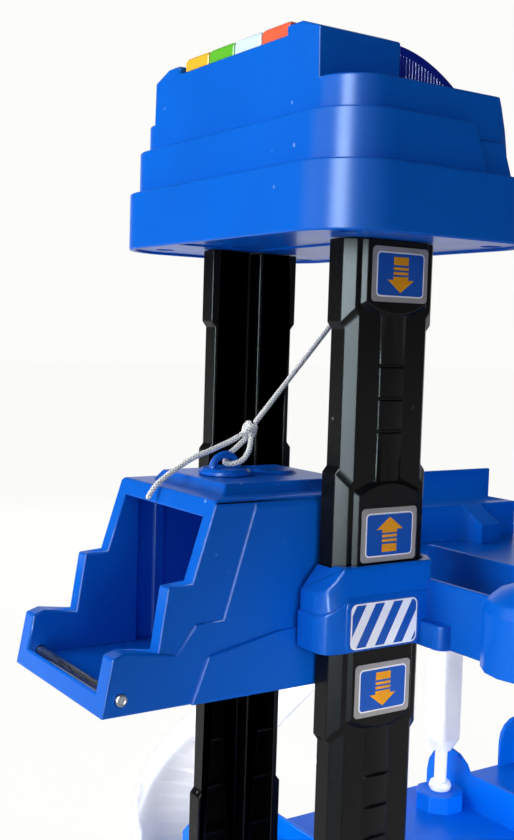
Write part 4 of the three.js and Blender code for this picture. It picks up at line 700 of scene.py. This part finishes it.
def arrow_label(name, centre_x, centre_z, up):
    """A silver plate with a blue field and an orange arrow of three bars and a head."""
    label = Label(centre_x, centre_z, COLUMN_FACE)
    sign = 1 if up else -1
    silver = outline_box(LABEL_WIDTH, LABEL_HEIGHT, LABEL_CORNER)
    rim = outline_box(LABEL_WIDTH - WHITE_INSET, LABEL_HEIGHT - WHITE_INSET, WHITE_CORNER)
    field = outline_box(LABEL_WIDTH - BLUE_INSET, LABEL_HEIGHT - BLUE_INSET, BLUE_CORNER)
    label.layer(silver, PLATE_BACK, LABEL_THICK, print_silver)
    label.layer(rim, LABEL_SUNK, LABEL_THICK + LAYER, print_white)
    label.layer(field, LABEL_SUNK, LABEL_THICK + 2 * LAYER, print_blue)

    def shape(points):
        placed = [(x, sign * z) for x, z in points]
        if not up:
            placed.reverse()
        label.layer(placed, LABEL_SUNK, LABEL_THICK + 3 * LAYER, print_orange)

    for low, high in ARROW_BARS:
        shape([(-ARROW_HALF, low), (ARROW_HALF, low), (ARROW_HALF, high), (-ARROW_HALF, high)])
    shape([
        (-ARROW_HALF, ARROW_FOOT), (ARROW_HALF, ARROW_FOOT), (ARROW_HALF, ARROW_NECK),
        (ARROW_WING, ARROW_NECK), (0, ARROW_TIP), (-ARROW_WING, ARROW_NECK), (-ARROW_HALF, ARROW_NECK),
    ])
    label.build(name)


for name, centre_x, centre_z, up in [
        ("label_down_top", 0.7, 248.8, False), ("label_up", 0.2, 169.9, True),
        ("label_down_low", -0.1, 121.8, False)]:
    arrow_label(name, centre_x, centre_z, up)

STRIPE_PITCH, STRIPE_LEAN, STRIPE_REACH = 7.2, 8, 3
STRIPES_CENTRE_X, STRIPES_CENTRE_Z, STRIPES_FACE = -3.2, 143.3, -48.2
STRIPES_WIDTH, STRIPES_HEIGHT, STRIPES_CORNER = 26.6, 14.6, 2.4
STRIPES_THICK, STRIPES_SUNK = 0.22, 0.1
RIM_INSET, RIM_CORNER = 0.7, 2.1
STRIPES_INSET, STRIPES_INNER_CORNER = 1.7, 1.6


def stripe_label():
    """A blue plate with a white field and slanted blue stripes."""
    label = Label(STRIPES_CENTRE_X, STRIPES_CENTRE_Z, STRIPES_FACE)
    width, height = STRIPES_WIDTH, STRIPES_HEIGHT
    plate = outline_box(width, height, STRIPES_CORNER)
    field = outline_box(width - RIM_INSET, height - RIM_INSET, RIM_CORNER)
    region = outline_box(width - STRIPES_INSET, height - STRIPES_INSET, STRIPES_INNER_CORNER)
    label.layer(plate, PLATE_BACK, STRIPES_THICK, print_blue)
    label.layer(field, STRIPES_SUNK, STRIPES_THICK + LAYER, print_white)
    low, high = -height / 2, height / 2
    for i in range(-STRIPE_REACH, STRIPE_REACH + 1):
        x = i * STRIPE_PITCH - STRIPE_LEAN / 2
        band = clip([
            (x, low), (x + STRIPE_PITCH / 2, low), (x + STRIPE_PITCH / 2 + STRIPE_LEAN, high),
            (x + STRIPE_LEAN, high)], region)
        if len(band) > 2:
            label.layer(band, STRIPES_SUNK, STRIPES_THICK + 2 * LAYER, print_blue)
    label.build("label_stripes")


stripe_label()

# Floor, light and background. The floor lies a little lower, clear of the base's underside
FLOOR_HALF = 8
FLOOR_DROP = 0.3 * MM
FLOOR_COLOR = (0.85, 0.85, 0.84, 1)
FLOOR_SEEN = srgb(254, 254, 252)
FLOOR_SEEN_SHARE = 0.965


def make_floor():
    """A matt floor that shows pale to the camera and in gloss, so that its shadow there is faint."""
    mesh = bpy.data.meshes.new("floor")
    mesh.from_pydata([
        (-FLOOR_HALF, -FLOOR_HALF, 0), (FLOOR_HALF, -FLOOR_HALF, 0), (FLOOR_HALF, FLOOR_HALF, 0),
        (-FLOOR_HALF, FLOOR_HALF, 0)], [], [(0, 1, 2, 3)])
    floor = bpy.data.objects.new("floor", mesh)
    floor.location.z = -FLOOR_DROP
    scene.collection.objects.link(floor)
    material = bpy.data.materials.new("floor_paper")
    material.use_nodes = True
    tree = material.node_tree
    tree.nodes.clear()
    out = tree.nodes.new("ShaderNodeOutputMaterial")
    diffuse = tree.nodes.new("ShaderNodeBsdfDiffuse")
    diffuse.inputs["Color"].default_value = FLOOR_COLOR
    glow = tree.nodes.new("ShaderNodeEmission")
    glow.inputs["Color"].default_value = FLOOR_SEEN
    share = tree.nodes.new("ShaderNodeMath")
    share.operation = "MULTIPLY"
    share.inputs[1].default_value = FLOOR_SEEN_SHARE
    rays = tree.nodes.new("ShaderNodeLightPath")
    seen = tree.nodes.new("ShaderNodeMath")
    seen.operation = "MAXIMUM"
    mix = tree.nodes.new("ShaderNodeMixShader")
    tree.links.new(rays.outputs["Is Camera Ray"], seen.inputs[0])
    tree.links.new(rays.outputs["Is Glossy Ray"], seen.inputs[1])
    tree.links.new(seen.outputs[0], share.inputs[0])
    tree.links.new(share.outputs[0], mix.inputs[0])
    tree.links.new(diffuse.outputs[0], mix.inputs[1])
    tree.links.new(glow.outputs[0], mix.inputs[2])
    tree.links.new(mix.outputs[0], out.inputs["Surface"])
    mesh.materials.append(material)


# Each backdrop turns from one strength to another across a direction, between two values of the
# cosine to it
ROOM_COLOR, ROOM_TOWARD = (0.96, 0.98, 1, 1), (-0.62, 0.62, 0.48)
ROOM_START, ROOM_END = -0.75, 0.7
ROOM_LOW, ROOM_HIGH = 0.03, 0.14
PALE = srgb(252, 252, 250)
MIRROR_TOWARD, MIRROR_START, MIRROR_END = (0.56, 0.83, 0), 0.72, 0.95
MIRROR_LOW, MIRROR_HIGH = 0.06, 1


def make_world():
    """Soft room light for surfaces. Gloss reflects a pale backdrop only behind the object, and the
    camera and clear pieces see it all round."""
    world = bpy.data.worlds.new("studio")
    scene.world = world
    world.use_nodes = True
    tree = world.node_tree
    tree.nodes.clear()
    out = tree.nodes.new("ShaderNodeOutputWorld")
    coords = tree.nodes.new("ShaderNodeTexCoord")
    rays = tree.nodes.new("ShaderNodeLightPath")

    def backdrop(color, toward, start, end, low, high):
        node = tree.nodes.new("ShaderNodeBackground")
        node.inputs["Color"].default_value = color
        dot = tree.nodes.new("ShaderNodeVectorMath")
        dot.operation = "DOT_PRODUCT"
        dot.inputs[1].default_value = Vector(toward).normalized()
        span = tree.nodes.new("ShaderNodeMapRange")
        span.interpolation_type = "SMOOTHSTEP"
        for key, value in zip(("From Min", "From Max", "To Min", "To Max"), (start, end, low, high)):
            span.inputs[key].default_value = value
        tree.links.new(coords.outputs["Generated"], dot.inputs[0])
        tree.links.new(dot.outputs["Value"], span.inputs["Value"])
        tree.links.new(span.outputs["Result"], node.inputs["Strength"])
        return node

    def choose(share, first, second):
        mix = tree.nodes.new("ShaderNodeMixShader")
        tree.links.new(share, mix.inputs[0])
        tree.links.new(first.outputs[0], mix.inputs[1])
        tree.links.new(second.outputs[0], mix.inputs[2])
        return mix

    room = backdrop(ROOM_COLOR, ROOM_TOWARD, ROOM_START, ROOM_END, ROOM_LOW, ROOM_HIGH)
    mirrored = backdrop(PALE, MIRROR_TOWARD, MIRROR_START, MIRROR_END, MIRROR_LOW, MIRROR_HIGH)
    seen = backdrop(PALE, (0, 0, 1), -1, 1, 1, 1)
    either = tree.nodes.new("ShaderNodeMath")
    either.operation = "MAXIMUM"
    tree.links.new(rays.outputs["Is Camera Ray"], either.inputs[0])
    tree.links.new(rays.outputs["Is Transmission Ray"], either.inputs[1])
    lit = choose(rays.outputs["Is Glossy Ray"], room, mirrored)
    tree.links.new(choose(either.outputs[0], lit, seen).outputs[0], out.inputs["Surface"])


# Lights: place and target in metres, width and height in metres, power in watts
LIGHTS = [
    ("key", (-1.15, 0.35, 0.55), (0, 0, 0.16), 0.8, 0.8, 15, {}),
    ("top", (0.1, 0.1, 1.5), (0, 0, 0.1), 1.0, 1.0, 1.6, {}),
    ("front", (-0.3, -1.2, 0.5), (0, 0, 0.15), 0.8, 0.8, 2.2, {}),
    ("left", (-0.9, -0.15, 0.08), (0, 0, 0.08), 0.6, 0.25, 0.7, {}),
    ("corner", (-0.45, -0.6, 0.1), (0, 0, 0.14), 0.6, 0.2, 0.15, {}),
    ("rear", (0.25, 1.0, 0.45), (0.05, 0.05, 0.08), 0.7, 0.5, 6, {}),
    ("base", (0.0, -0.62, 0.2), (0.13, -0.03, 0.02), 0.25, 0.15, 0.24, {"spread": 32}),
    ("ramp", (-0.35, 0.6, 0.12), (0.08, 0.13, 0.04), 0.3, 0.15, 0.3, {"spread": 30}),
    ("strip", (-1.0, -0.6, 0.5), (0, 0, 0.26), 0.45, 1.7, 150,
     {"diffuse": False, "glossy": True, "color": (0.76, 0.93, 1)}),
]


def area_light(name, place, target, width, height, power, diffuse=True, glossy=False, spread=180,
               color=(1, 1, 1)):
    data = bpy.data.lights.new(name, "AREA")
    data.shape = "RECTANGLE"
    data.size, data.size_y = width, height
    data.energy = power
    data.color = color
    data.spread = math.radians(spread)
    light = bpy.data.objects.new(name, data)
    light.location = place
    light.rotation_euler = (Vector(target) - Vector(place)).to_track_quat("-Z", "Y").to_euler()
    light.visible_camera = False
    light.visible_diffuse = diffuse
    light.visible_glossy = glossy
    scene.collection.objects.link(light)


make_floor()
make_world()
for *light, options in LIGHTS:
    area_light(*light, **options)
